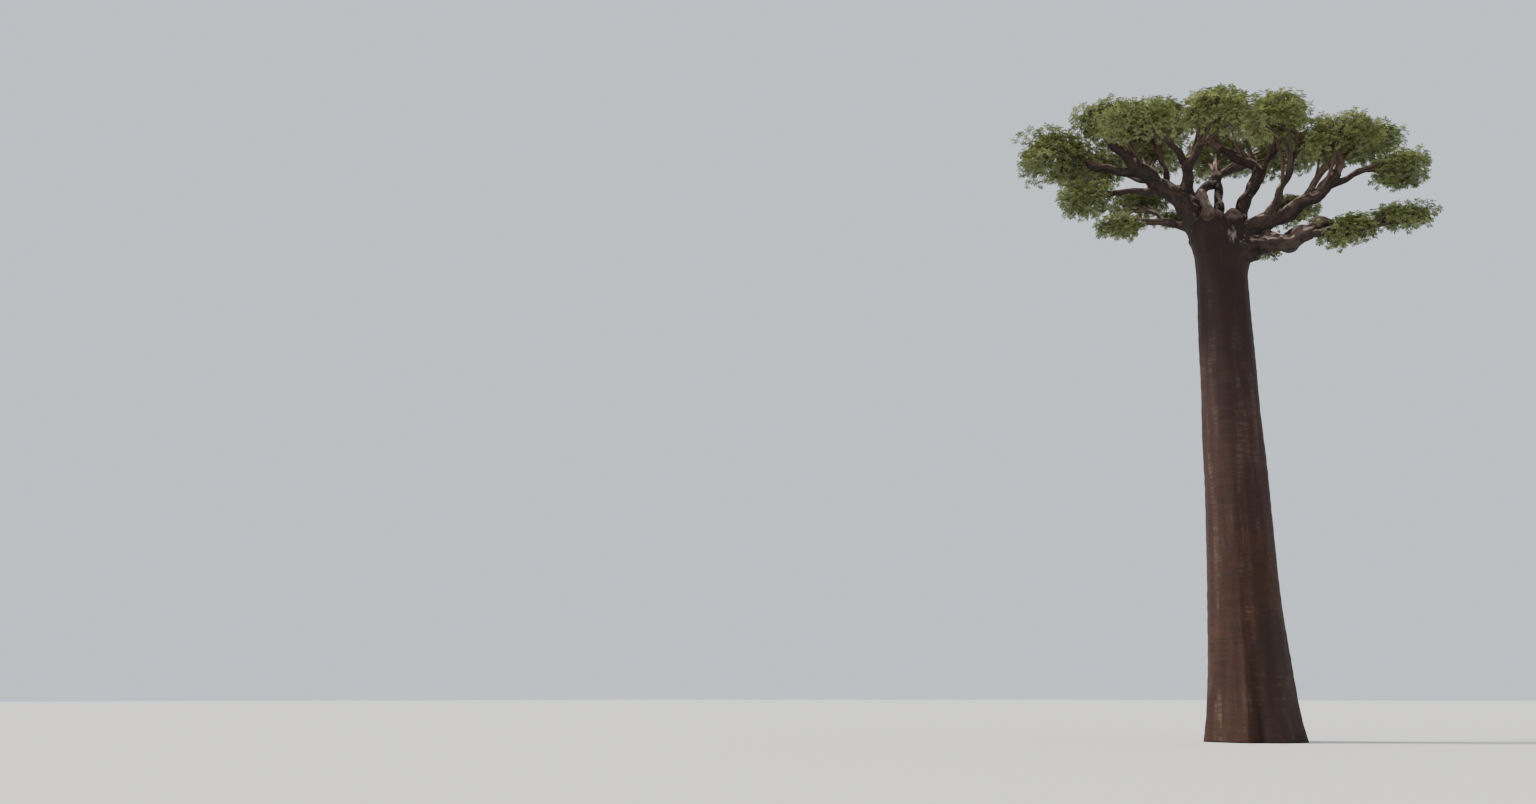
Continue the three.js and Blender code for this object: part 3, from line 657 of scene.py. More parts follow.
# A bough leaves the trunk's head (height, distance out from its axis, bearing) or a parent bough (share of
# the way along it). Then come the bearing and slope it leaves and arrives in, in degrees, its tip, how thick
# it is at both ends, and how far the curve holds both slopes, as a share of its span.
BOUGHS = {
    "left_rise": (None, (18.5, 0.54, 188), (188, 64), (190, 48), (-3.8, -1.2, 21.8), (0.76, 0.32), (0.35, 0.25)),
    "right_rise": (None, (18.3, 0.5, -20), (-16, 0), (-6, 52), (4.0, -0.65, 20.0), (0.60, 0.34), (0.48, 0.3)),
    "right_low": (None, (17.6, 0.3, -25), (-16, 0), (0, 42), (3.15, -0.6, 18.12), (0.80, 0.50), (0.5, 0.35)),
    "crown": (None, (18.35, 0.56, -12), (-14, 74), (186, 30), (0.05, 0, 21.6), (0.48, 0.32), (0.58, 0.82)),
    "front": ("left_rise", 0.2, (230, 84), (300, 28), (-0.6, -2.25, 21.05), (0.46, 0.26), (0.5, 0.3)),
    "back_right": (None, (18.5, 0.64, 158), (165, 78), (52, 25), (1.2, 2.9, 21.9), (0.43, 0.23), (0.5, 0.35)),
    "back": (None, (18.45, 0.35, 80), (96, 74), (92, 45), (-0.15, 2.5, 22.0), (0.38, 0.22), (0.45, 0.35)),
    "back_left": ("left_rise", 0.3, (140, 36), (112, 45), (-2.85, 2.4, 22.05), (0.34, 0.21), (0.4, 0.35)),
    "left_tip": ("left_rise", 0.62, (178, 10), (178, 8), (-5.3, -0.45, 21.45), (0.32, 0.20), (0.35, 0.35)),
    "left_low": ("left_rise", 0.45, (186, -8), (172, 8), (-4.0, -0.5, 20.15), (0.27, 0.17), (0.4, 0.3)),
    "left_back": ("back_left", 0.5, (172, 20), (160, 24), (-4.3, 2.1, 22.05), (0.26, 0.17), (0.35, 0.3)),
    "crown_left": ("left_rise", 0.42, (80, 78), (150, 65), (-2.35, 0.15, 22.15), (0.20, 0.13), (0.4, 0.4)),
    "front_left": ("front", 0.6, (205, 40), (220, 34), (-1.85, -2.4, 21.35), (0.26, 0.16), (0.35, 0.3)),
    "front_right": ("right_rise", 0.26, (-28, 36), (-42, 38), (2.75, -1.8, 20.6), (0.34, 0.18), (0.35, 0.3)),
    "crown_right": ("crown", 0.45, (-10, 50), (0, 60), (2.1, -0.25, 21.5), (0.21, 0.14), (0.35, 0.3)),
    "right_back": ("right_rise", 0.5, (56, 24), (44, 36), (3.9, 1.45, 21.0), (0.26, 0.17), (0.35, 0.3)),
    "right_tip": ("right_rise", 0.84, (0, 8), (6, 0), (5.1, -0.3, 20.05), (0.23, 0.15), (0.35, 0.3)),
    "right_low_tip": ("right_low", 0.8, (-28, 0), (10, 6), (5.1, -0.15, 18.0), (0.25, 0.15), (0.35, 0.4)),
    "right_back_low": (None, (18.15, 0.56, 42), (46, 20), (56, 24), (1.85, 2.1, 19.45), (0.24, 0.14), (0.4, 0.4)),
    "right_foot": ("right_low", 0.22, (80, 0), (66, 0), (1.3, 0.4, 17.55), (0.14, 0.09), (0.35, 0.3)),
    "left_foot": (None, (18.5, 0.7, 178), (180, 18), (184, -10), (-2.95, -0.35, 18.85), (0.30, 0.15), (0.4, 0.4)),
    "left_under": ("left_foot", 0.5, (150, 26), (126, 26), (-2.75, 0.65, 19.7), (0.20, 0.12), (0.35, 0.3)),
    "left_spray": (None, (18.4, 0.7, 146), (142, 26), (128, 16), (-1.6, 0.75, 19.05), (0.15, 0.09), (0.35, 0.3)),
    "stub": (None, (18.5, 0.66, 252), (262, 62), (172, 62), (-0.84, -1.0, 19.7), (0.36, 0.29), (0.35, 0.3)),
}
print(len(MASSES), "masses of leaves on", len(BOUGHS), "boughs, one of them broken off")

# %% Helpers for lines
def between(limits, share):
    """The number at that share of the way between two limits."""
    return limits[0] + (limits[1] - limits[0]) * share


def heading(bearing, slope):
    """The unit vector with that bearing from +X and that slope above the horizon, in degrees."""
    b, s = np.radians(bearing), np.radians(slope)
    return np.array([np.cos(b) * np.cos(s), np.sin(b) * np.cos(s), np.sin(s)])


def part_way(line, share):
    """The point at a share of the way along a line of evenly spaced points, and the step ahead there."""
    at = share * (len(line) - 1)
    ahead = line[int(at) + 1] - line[int(at)]
    return line[int(at)] + (at % 1) * ahead, ahead


def evenly_spaced(points, count):
    """count points at even distances along a line through many points, and the line's length."""
    run = np.concatenate([[0], np.cumsum(np.linalg.norm(np.diff(points, axis=0), axis=1))])
    at = np.linspace(0, run[-1], count)
    return np.stack([np.interp(at, run, points[:, i]) for i in range(3)], axis=1), run[-1]


def along_axes(points):
    """For each point of a line, the direction along it and two across it that don't twist: each pair across
    is the one before it, turned just enough to stay square to the line."""
    along = np.gradient(points, axis=0)
    along /= np.linalg.norm(along, axis=1, keepdims=True)
    side = np.cross(along[0], [0, 0, 1.0])
    sides = []
    for direction in along:
        side = side - side.dot(direction) * direction
        side /= np.linalg.norm(side)
        sides.append(side)
    sides = np.array(sides)
    return along, sides, np.cross(along, sides)


print("a bearing of 90 degrees with no slope points along", heading(90, 0).round(2))

# %% The boughs' curves
COLLAR = 0.42
HEAD_COLLAR = 0.6  # for boughs that leave the trunk's head
COLLAR_LENGTH = 0.7
WANDER = 0.06  # how far a bough strays from its plain curve, in metres
WANDER_LENGTH = 0.95
WANDER_SEEDS = 100
CURVE_STEPS = 200
RING_SPACING = 0.045


def bough_line(name, lines):
    """The wandering middle line of a bough, the radius at each of its points, and its length."""
    parent, start, leave, arrive, tip, girth, pull = BOUGHS[name]
    if parent:
        root, _ = part_way(lines[parent]["points"], start)
    else:
        height, out, bearing = start
        root = trunk_axis(height) + out * heading(bearing, 0)
    tip = np.array(tip)
    span = np.linalg.norm(tip - root)
    t = np.linspace(0, 1, CURVE_STEPS + 1)[:, None]
    second = root + span * pull[0] * heading(*leave)
    third = tip - span * pull[1] * heading(*arrive)
    curve = (1 - t) ** 3 * root + 3 * (1 - t) ** 2 * t * second + 3 * (1 - t) * t**2 * third + t**3 * tip
    length = np.linalg.norm(np.diff(curve, axis=0), axis=1).sum()
    points, length = evenly_spaced(curve, int(length / RING_SPACING) + 2)
    share = np.linspace(0, 1, len(points))
    _, *across = along_axes(points)
    straight = np.stack([np.zeros_like(share), np.zeros_like(share), share * length], axis=1)
    stray = WANDER * np.sin(np.pi * share) ** 0.5
    for seed, axis in enumerate(across, WANDER_SEEDS + 2 * list(BOUGHS).index(name)):
        points = points + (stray * waves(straight, WANDER_LENGTH, seed))[:, None] * axis
    collar = 1 + (COLLAR if parent else HEAD_COLLAR) * np.exp(-share * length / COLLAR_LENGTH)
    return {"points": points, "radii": between(girth, share) / 2 * collar, "length": length}


bough_lines = {}
for name in BOUGHS:
    bough_lines[name] = bough_line(name, bough_lines)
print("the longest bough is", round(max(line["length"] for line in bough_lines.values()), 2), "m long")

# %% The boughs' forms
BOUGH_SIDES = 36
KNUCKLES = (0.10, (0.8, 0.8, 0.62))  # share of the radius, and the length of a wave across and along
CREASES = (0.055, (0.22, 0.22, 1.1))
WRINKLES = (0.026, (0.6, 0.6, 0.16))
BOUGH_SEEDS = 200
PATTERN_SHIFT = 7.3  # so that no two boughs show the same stretch of the pattern
GNARLED = {"right_low": 2.2, "stub": 1.8}  # the old limbs that are folded more deeply
STUB_ROUND = 0.16  # the stub's end rounds off over this length


def bough_shape(name):
    """Rings of points round a bough's line, with knuckles, creases along it and wrinkles across it."""
    line = bough_lines[name]
    points, radii = line["points"], line["radii"]
    _, side, other = along_axes(points)
    a = np.linspace(0, 2 * np.pi, BOUGH_SIDES, endpoint=False)
    outward = np.cos(a)[None, :, None] * side[:, None, :] + np.sin(a)[None, :, None] * other[:, None, :]
    run = np.linspace(0, line["length"], len(points))
    number = list(BOUGHS).index(name)
    across = radii[:, None] * np.cos(a), radii[:, None] * np.sin(a)
    along = np.broadcast_to(run[:, None] + PATTERN_SHIFT * number, across[0].shape)
    grain = np.stack([*across, along], axis=-1)
    swell = 1.0
    for seed, (share, size) in enumerate((KNUCKLES, CREASES, WRINKLES), BOUGH_SEEDS + 3 * number):
        swell = swell + share * GNARLED.get(name, 1) * waves(grain, size, seed)
    if name == "stub":
        left = np.clip((line["length"] - run) / STUB_ROUND, 0, 1)
        swell = swell * (1 - (1 - left) ** 2)[:, None] ** 0.5
    return points[:, None, :] + (radii[:, None] * swell)[..., None] * outward, grain


bough_shapes = {name: bough_shape(name) for name in BOUGHS}
print("the boughs have", sum(rings.shape[0] for rings, _ in bough_shapes.values()), "rings")

# %% [markdown]
# Where a limb grows out of another, living wood fills the corner. Two tubes that just cut through each other
# show a hard line there. Joining them with a remesh would lose the even rings, so each surface is swelled
# instead, near the other one, by the formula of a smooth union: a quarter of the fillet's width, times the
# square of how near the other surface is. Both surfaces then meet in a soft valley. The trunk's dome would
# show as a knob between the boughs, so it first sinks wherever it is away from them.

# %% How far a place is from a limb
LINE_STEP = 3  # distances are measured to every third point of a line


def distance_to_line(points, line):
    """How far points lie outside the round limb along a line: the least distance to one of its stretches,
    less the radius there."""
    nearest = np.full(len(points), np.inf)
    middles, radii = line["points"][::LINE_STEP], line["radii"][::LINE_STEP]
    for start, end, r_start, r_end in zip(middles[:-1], middles[1:], radii[:-1], radii[1:]):
        stretch = end - start
        t = np.clip((points - start) @ stretch / stretch.dot(stretch), 0, 1)
        away = np.linalg.norm(points - start - t[:, None] * stretch, axis=1)
        nearest = np.minimum(nearest, away - between((r_start, r_end), t))
    return nearest


def distance_to_trunk(points):
    """How far points lie outside the trunk: from its round wall, and from an egg at its dome."""
    z = np.minimum(points[:, 2], TRUNK_TOP - HEAD_ROUND)
    off = points[:, :2] - trunk_axis(z)[:, :2]
    radius = trunk_radius(z, np.arctan2(off[:, 1], off[:, 0]))
    above = np.maximum(points[:, 2] - z, 0) / HEAD_ROUND
    across = np.linalg.norm(off, axis=1)
    dome = HEAD_ROUND + (radius - HEAD_ROUND) * across / radius
    scale = np.where(above > 0, dome, radius)
    return (np.hypot(across / radius, above) - 1) * np.minimum(scale, radius)


beside = np.array([[3.0, 0, 9.0]])
print("a place 3 m from the axis is", distance_to_trunk(beside).round(2)[0], "m outside the trunk")

# %% Fillets between the limbs
FILLET = 0.34
STOUT = 2.2  # the fillet at a bough thinner than 1 / STOUT metres at its root is smaller
HEAD_FILLET = 0.65
HEAD_FROM = 15.8  # below this height the trunk meets no bough
HOLLOW = 0.5  # how far the head's dome sinks where it is furthest from the boughs
HOLLOW_FROM = 17.9
HOLLOW_REACH = 0.45  # the distance from the boughs at which it has sunk in full
NEAR_BOX = 1.0


def unit(vectors):
    """Vectors of length one."""
    return vectors / np.maximum(np.linalg.norm(vectors, axis=-1, keepdims=True), 1e-9)


def ring_normals(rings):
    """Outward normals of a grid of rings, from its slopes along and around."""
    along = np.gradient(rings, axis=0)
    around = np.roll(rings, -1, axis=1) - np.roll(rings, 1, axis=1)
    return unit(np.cross(around, along))


def fillet(rings, others, width):
    """Swells rings near the other limbs, each given by a function that measures the distance to it."""
    flat = rings.reshape(-1, 3)
    swell = np.zeros(len(flat))
    for measure in others:
        near = np.clip(1 - np.abs(measure(flat)) / width, 0, 1)
        swell = np.maximum(swell, width / 4 * near**2)
    return rings + swell.reshape(rings.shape[:2])[..., None] * ring_normals(rings)


def sink(rings, others):
    """Lowers the top of the trunk between the boughs: by the hollow's depth, times how high up a point lies,
    times a smooth step of its distance to the nearest of the other limbs."""
    flat = rings.reshape(-1, 3).copy()
    away = np.clip(np.min([measure(flat) for measure in others], axis=0) / HOLLOW_REACH, 0, 1)
    high = np.clip((flat[:, 2] - HOLLOW_FROM) / (TRUNK_TOP - HOLLOW_FROM), 0, 1)
    flat[:, 2] -= HOLLOW * high * away**2 * (3 - 2 * away)
    return flat.reshape(rings.shape)


def neighbours(name):
    """The limbs that a bough may touch: all whose boxes come near its own."""
    low = bough_lines[name]["points"].min(axis=0) - NEAR_BOX
    high = bough_lines[name]["points"].max(axis=0) + NEAR_BOX
    found = []
    for other, line in bough_lines.items():
        apart = (line["points"].min(axis=0) > high).any() or (line["points"].max(axis=0) < low).any()
        if other != name and not apart:
            found.append(partial(distance_to_line, line=line))
    return found


bark_limbs = {}
for name, (rings, grain) in bough_shapes.items():
    width = FILLET * min(1, STOUT * bough_lines[name]["radii"][0])
    bark_limbs[name] = fillet(rings, [distance_to_trunk, *neighbours(name)], width), grain
head = trunk_rings[:, 0, 2] > HEAD_FROM
# The boughs of the head all leave the trunk, and so does front, which forks from left_rise inside the head.
roots = [name for name, plan in BOUGHS.items() if plan[0] in (None, "left_rise")]
measures = [partial(distance_to_line, line=bough_lines[name]) for name in roots]
trunk_rings[head] = sink(trunk_rings[head], measures)
trunk_rings[head] = fillet(trunk_rings[head], measures, HEAD_FILLET)
print("fillets between the trunk and", len(measures), "boughs")

# %% [markdown]
# The pieces of bark are now skinned and put in the frame. The boughs are joined into six pieces, by the side
# of the tree that they grow to, as one piece for each would only make the list longer.

# %% Trunk and boughs as pieces
SIDES = {
    "left": ["left_rise", "left_tip", "left_low", "left_back", "left_under", "left_foot", "left_spray"],
    "front": ["front_left", "front", "front_right"],
    "crown": ["crown_left", "crown", "crown_right"],
    "back": ["back_left", "back", "back_right"],
    "right": ["right_rise", "right_tip", "right_back"],
    "low_right": ["right_low", "right_low_tip", "right_back_low", "right_foot"],
}
SPLIT_BOUGHS = ("crown", "back_right")  # in the frame, these two are split at their bends

bark_piece("trunk_bark", [(trunk_rings, trunk_grain)], trunk_bark, ["trunk"])
bark_piece("broken_stub", [bark_limbs["stub"]], stub_bark, ["bough_stub"])
for side, names in SIDES.items():
    nodes = ["bough_" + name for name in names]
    nodes += ["bough_" + name + "_bend" for name in names if name in SPLIT_BOUGHS]
    bark_piece("boughs_" + side, [bark_limbs[name] for name in names], bough_bark, nodes)

# %% [markdown]
# Now the crown. Every mass of leaves owns a space like a cushion, and flat walls part it from its
# neighbours, as soap bubbles are parted. Twigs are grown into that space level by level. Each level sets out
# ends that are spread evenly over a dome by the golden angle, brings them in where the edge of the mass
# dips, links each end to the nearest twig of the level before, and leaves out what would cross a wall or
# touch a bough. No dice are thrown: chance comes from a formula on the numbers of the mass and the twig, so
# the tree grows the same way every time.

# %% Chance and directions
GOLDEN_ANGLE = np.pi * (3 - np.sqrt(5))
CHANCE_WAVE = (12.9898, 78.233, 37.719)  # any uneven numbers do
CHANCE_HEIGHT = 43758.5453
# A number for each use of chance. The two for the levels of twigs go up by one from level to level.
USES = {
    "level_reach": 1,
    "level_root": 5,
    "leaf_turn": 11,
    "leaf_opening": 12,
    "leaf_stalk": 13,
    "leaf_size": 14,
    "spray_green": 21,
    "tuft_turn": 31,
    "tuft_size": 32,
    "tuft_root": 33,
    "bare": 51,
}


def chance(a, b=0, c=0):
    """A repeatable number from 0 to 1: the digits of a large sine. The numbers of the mass, of the twig or
    leaf, and of the use go in. Where a leaf has two numbers, such as its twig's and its own, one of them is
    multiplied before they are added up."""
    angle = a * CHANCE_WAVE[0] + np.asarray(b) * CHANCE_WAVE[1] + c * CHANCE_WAVE[2]
    wave = np.sin(angle) * CHANCE_HEIGHT
    return wave - np.floor(wave)


def spread(count, lowest, turn):
    """Unit vectors spread evenly by the golden angle from straight up down to the height lowest."""
    n = np.arange(count)
    z = 1 - (1 - lowest) * (n + 0.5) / count
    a = n * GOLDEN_ANGLE + turn
    r = np.sqrt(np.maximum(1 - z * z, 0))
    return np.stack([r * np.cos(a), r * np.sin(a), z], axis=1)


print("three ends spread from the top down lie at the heights", spread(3, -0.4, 0)[:, 2].round(2))

# %% The space of a mass
FLATNESS = 1.5  # walls are placed as if the crown were this much taller
CUSHION = 2.8  # 2 would make a mass's space an egg, and more gives it flatter sides and fuller corners
TUFT_ROOM = np.array([0.44, 0.44, 0.25])  # tufts are this far in from the edge of a mass, and reach out to it
ROOM_SHARE = 0.6  # but no further than this share of its half sizes
LUMPS = (0.12, 0.36)  # the leaves' edge dips by up to these shares, near the trunk and at the crown's rim
LUMP_SIZE = 1.0
LUMP_SEED = 300
RIM = 4.5  # masses this far from the trunk's axis are at the rim of the crown
CHUNK = 4000  # points measured at a time, to save memory
BALL_STEP = 2  # a bough is measured as balls at every second point of its line
HEAD_STEP = 0.12  # and the trunk's head as balls at this distance


def middle_and_half(name):
    """The middle and the half sizes of a mass, as arrays."""
    return [np.array(v) for v in MASSES[name]]


def rimward(name):
    """How far out in the crown a mass stands: 0 at the trunk's axis, and 1 from the rim on."""
    return min(np.hypot(*MASSES[name][0][:2]) / RIM, 1)


def outness(offset):
    """How far out places lie in a mass, 0 at its middle and 1 at its edge, for offsets in shares of its half
    sizes: as a distance, but with a power of more than 2."""
    return (np.abs(offset) ** CUSHION).sum(axis=-1) ** (1 / CUSHION)


def lumpy(name, out, far):
    """Places at the share far of the way out to the edge of a mass, which dips in places."""
    centre, half = middle_and_half(name)
    edge = out * (half - np.minimum(TUFT_ROOM, ROOM_SHARE * half)) / outness(out)[:, None]
    dips = np.clip(0.5 - 0.5 * waves(centre + edge, LUMP_SIZE, LUMP_SEED), 0, 1)
    return centre + edge * (far * (1 - between(LUMPS, rimward(name)) * dips))[:, None]


def within(name, points, margin):
    """Whether points lie in a mass's space, at least margin metres from the walls to its neighbours. A wall
    is where two masses are equally near, by the square of the distance less the size of the mass."""
    centre, half = middle_and_half(name)
    stretch = np.array([1, 1, FLATNESS])
    fits = outness((points - centre) / half) <= 1
    own = (((points - centre) * stretch) ** 2).sum(axis=1) - half[0] * half[1]
    for other, (place_of, size) in MASSES.items():
        if other != name:
            apart = np.linalg.norm((np.array(place_of) - centre) * stretch)
            theirs = (((points - place_of) * stretch) ** 2).sum(axis=1) - size[0] * size[1]
            fits &= (theirs - own) / (2 * apart) > margin
    return fits


head_heights = np.arange(NECK_HEIGHT, TRUNK_TOP, HEAD_STEP)
lines = bough_lines.values()
points = [line["points"][::BALL_STEP] for line in lines]
limb_points = np.concatenate([*points, trunk_axis(head_heights)])
radii = [line["radii"][::BALL_STEP] for line in lines]
limb_radii = np.concatenate([*radii, trunk_radius(head_heights, 0)])


def clear_of_limbs(points, margin):
    """Whether points lie clear of every bough and of the trunk's head, by margin metres."""
    clear = np.ones(len(points), dtype=bool)
    for chunk in range(0, len(points), CHUNK):
        part = slice(chunk, chunk + CHUNK)
        gap = np.linalg.norm(points[part, None] - limb_points[None], axis=2) - limb_radii
        clear[part] = gap.min(axis=1) > margin
    return clear


def has_room(name, points, gaps):
    """Whether points lie in a mass's space, with gaps of those two sizes to its walls and to the limbs."""
    return within(name, points, gaps[0]) & clear_of_limbs(points, gaps[1])


print("the limbs are measured as", len(limb_points), "balls")

# %% [markdown]
# The first twigs of a mass repeat the solids' own: a leader from the bough's tip through the heart of the
# mass, and side twigs to a few hubs. A bough would still run bare up to its tip, so a few feeders also leave
# it on the way and enter the mass from below.

# %% The first twigs of a mass
HEART_BACK = 0.2  # the heart lies this share of the way back from the middle towards the bough's tip
STEM_STRAIGHT = 0.35  # the leader goes straight on for this share of the way to the heart
STEM_SUNK = 0.06
STEM_POINTS = 60
STEM_SMOOTHING = 40
HUBS = 4
HUB_REACH = 0.3
LOWEST_HUB = -0.1
HUB_TURN = 0.8
SIDE_ROOTS = (0.5, 0.95)
TWIG_STEPS = 8
BEND_AT = 0.45
SIDE_LIFT = 0.05
FEEDERS = 5
FEEDER_ROOTS = (0.48, 0.98)
FEEDER_REACH = 0.5
FEEDER_LOWEST = -0.75
FEEDER_PULL = 0.8
FEEDER_LIFT = 0.04
FEEDER_GAPS = (0.12, 0.1)
FEEDER_CHANCE = 40


def bent_paths(start, way, end, lift, steps):
    """Lines from start to end that set out along way: quadratic curves whose middle point lies ahead on way
    and a little higher. Returns an array of twig, point and coordinate."""
    span = np.linalg.norm(end - start, axis=1, keepdims=True)
    middle = start + BEND_AT * span * way
    middle[:, 2] += lift * span[:, 0]
    t = np.linspace(0, 1, steps + 1)[None, :, None]
    return (1 - t) ** 2 * start[:, None] + 2 * (1 - t) * t * middle[:, None] + t**2 * end[:, None]


def stem_paths(name, seed):
    """The leader of a mass, from its bough's tip through its heart to the first hub, and the side twigs to
    the other hubs. Moving each point to the middle of its neighbours, many times, rounds it off."""
    centre, half = middle_and_half(name)
    tip = bough_lines[name]["points"][-1]
    inward = heading(*BOUGHS[name][3])
    heart = centre + HEART_BACK * (tip - centre)
    elbow = tip + STEM_STRAIGHT * np.linalg.norm(heart - tip) * inward
    hubs = centre + HUB_REACH * half * spread(HUBS, LOWEST_HUB, 2 * np.pi * chance(seed) + HUB_TURN)
    rough = np.array([tip - STEM_SUNK * inward, tip, elbow, heart, hubs[0]])
    knots = np.linspace(0, 1, len(rough))
    fine = np.linspace(0, 1, STEM_POINTS)
    leader = np.stack([np.interp(fine, knots, rough[:, i]) for i in range(3)], axis=1)
    for _ in range(STEM_SMOOTHING):
        leader[1:-1] = (leader[:-2] + leader[2:]) / 2
    leader, _ = evenly_spaced(leader, 2 * TWIG_STEPS + 1)
    root = between(SIDE_ROOTS, np.arange(1, HUBS) / HUBS)
    start = elbow + root[:, None] * (heart - elbow)
    start = leader[np.linalg.norm(start[:, None] - leader[None], axis=2).argmin(axis=1)]
    way = np.tile((heart - elbow) / np.linalg.norm(heart - elbow), (len(start), 1))
    return leader, bent_paths(start, way, hubs[1:], SIDE_LIFT, TWIG_STEPS)


def feeder_paths(name, seed):
    """Branches from the bough itself into its mass, low down."""
    centre, half = middle_and_half(name)
    points = bough_lines[name]["points"]
    root = between(FEEDER_ROOTS, (np.arange(FEEDERS) + 0.5) / FEEDERS)
    at = (root * (len(points) - 1)).astype(int)
    out = spread(FEEDERS, FEEDER_LOWEST, 2 * np.pi * chance(seed, FEEDER_CHANCE))
    end = centre + FEEDER_REACH * half * out
    ahead = unit(points[np.minimum(at + 1, len(points) - 1)] - points[at - 1])
    way = unit(ahead + FEEDER_PULL * unit(end - points[at]))
    keep = has_room(name, end, FEEDER_GAPS)
    return bent_paths(points[at], way, end, FEEDER_LIFT, TWIG_STEPS)[keep]


print("each mass has up to", HUBS + FEEDERS, "first twigs")

# %% [markdown]
# From there each level is finer than the last. The underside of a mass near the trunk stays half bare, as
# leaves there would get no light, and shows its branchlets. Every other twig of the last level ends in a
# flat tuft of short twigs, and these carry the leaves.

# %% Twigs that grow from twigs
# Each level of twigs: one end for so many square metres of the mass's surface, how far out its ends lie, how
# low they go, how much the twigs lift, their steps along, and their form, which is the radius at the root,
# the radius at the tip, and the corners round.
LEVELS = [
    {"area": 1.3, "reach": (0.5, 0.75), "lowest": -0.5, "lift": 0.05, "steps": 6, "form": (0.054, 0.024, 6)},
    {"area": 0.2, "reach": (0.55, 1.05), "lowest": -0.85, "lift": 0.08, "steps": 4, "form": (0.02, 0.01, 4)},
]
FEWEST = 6
FULLER = 0.6  # a power under 1 makes more of the ends lie far out
LEVEL_GAPS = (0.05, 0.1)
MIDDLE_GAP = 0.02
SHOOT_ROOTS = (0.4, 0.9)
INNER_LOWEST = 0.4  # ends in a mass at the trunk's axis go down by only this share of what they do at the rim


def grow_level(name, seed, number, parents):
    """The lines of one level of twigs of a mass, each from the nearest twig of the level before. Their
    number is the surface of half a ball of the mass's size, divided by the level's area."""
    level = LEVELS[number]
    _, half = middle_and_half(name)
    surface = 2 * np.pi * np.cbrt(half.prod()) ** 2
    count = max(FEWEST, round(surface / level["area"]))
    n = np.arange(count)
    lowest = level["lowest"] * between((INNER_LOWEST, 1), rimward(name))
    out = spread(count, lowest, 2 * np.pi * chance(seed, number))
    luck = chance(seed, n, USES["level_reach"] + number)
    end = lumpy(name, out, between(level["reach"], luck**FULLER))
    keep = has_room(name, end, LEVEL_GAPS)
    n, end = n[keep], end[keep]
    tips = np.array([line[-1] for line in parents])
    nearest = np.linalg.norm(end[:, None] - tips[None], axis=2).argmin(axis=1)
    share = between(SHOOT_ROOTS, chance(seed, n, USES["level_root"] + number))
    roots = [part_way(parents[p], s) for p, s in zip(nearest, share)]
    start, ahead = (np.array(v) for v in zip(*roots))
    paths = bent_paths(start, unit(ahead), end, level["lift"], level["steps"])
    return paths[clear_of_limbs(paths[:, level["steps"] // 2], MIDDLE_GAP)]


print("a twig of the last level for every", LEVELS[-1]["area"], "square metres of a mass")

# %% Tufts
TUFT_TWIGS = 7
TUFT_SIZE = np.array([0.42, 0.42, 0.20])
TUFT_SIZES = (0.75, 1.2)
TUFT_LOWEST = -0.25
TUFT_ROOTS = (0.5, 0.95)
TUFT_WAYS = (0.85, 0.35)  # how far a tuft's twigs spread, and how far they go on ahead, as shares of its size
TUFT_OPEN = 0.6
TUFT_LIFT = 0.05
TUFT_STEPS = 2
TUFT_GAPS = (0.03, 0.06)
BARE = 0.55  # share of the twigs' ends that have no leaves, at the bottom of a mass
BARE_FROM = 0.1  # and the height in the mass from which they thin out, as a share of its half height


def grow_tufts(name, seed, parents):
    """The last level: a flat tuft of short twigs round the end of every twig that isn't bare. Returns their
    lines, the number of each one's tuft, and the height of that tuft."""
    centre, half = middle_and_half(name)
    height = (parents[:, -1, 2] - centre[2]) / half[2]
    bare = BARE * np.clip((BARE_FROM - height) / (1 + BARE_FROM), 0, 1) * (1 - min(abs(centre[0]) / RIM, 1))
    leafy = np.flatnonzero(chance(seed, np.arange(len(parents)), USES["bare"]) >= bare)
    number = np.repeat(leafy, TUFT_TWIGS)
    k = np.tile(np.arange(TUFT_TWIGS), len(leafy))
    turn = 2 * np.pi * chance(seed, number, USES["tuft_turn"])
    x, y, z = spread(TUFT_TWIGS, TUFT_LOWEST, 0)[k].T
    out = np.stack([x * np.cos(turn) - y * np.sin(turn), x * np.sin(turn) + y * np.cos(turn), z], axis=1)
    ahead = unit(parents[:, -1] - parents[:, -2])[number]
    size = TUFT_SIZE * between(TUFT_SIZES, chance(seed, number * 5 + k, USES["tuft_size"]))[:, None]
    end = parents[number, -1] + (TUFT_WAYS[0] * out + TUFT_WAYS[1] * ahead) * size
    at = between(TUFT_ROOTS, chance(seed, number * 7 + k, USES["tuft_root"])) * (parents.shape[1] - 1)
    before = at.astype(int)
    stretch = parents[number, before + 1] - parents[number, before]
    start = parents[number, before] + (at % 1)[:, None] * stretch
    paths = bent_paths(start, unit(ahead + TUFT_OPEN * out), end, TUFT_LIFT, TUFT_STEPS)
    keep = has_room(name, end, TUFT_GAPS)
    return paths[keep], number[keep], parents[number, -1, 2][keep]


print("a tuft is up to", 2 * (TUFT_SIZE * TUFT_SIZES[1]).round(2), "m along X, Y and Z")

# %% All twigs of all masses
LEADER_FORM = (0.98, 0.040, 10)  # here the first number is a share of the bough's own radius
SIDE_FORM = (0.075, 0.036, 8)
FEEDER_FORM = (0.075, 0.034, 8)
TUFT_FORM = (0.008, 0.005, 3)


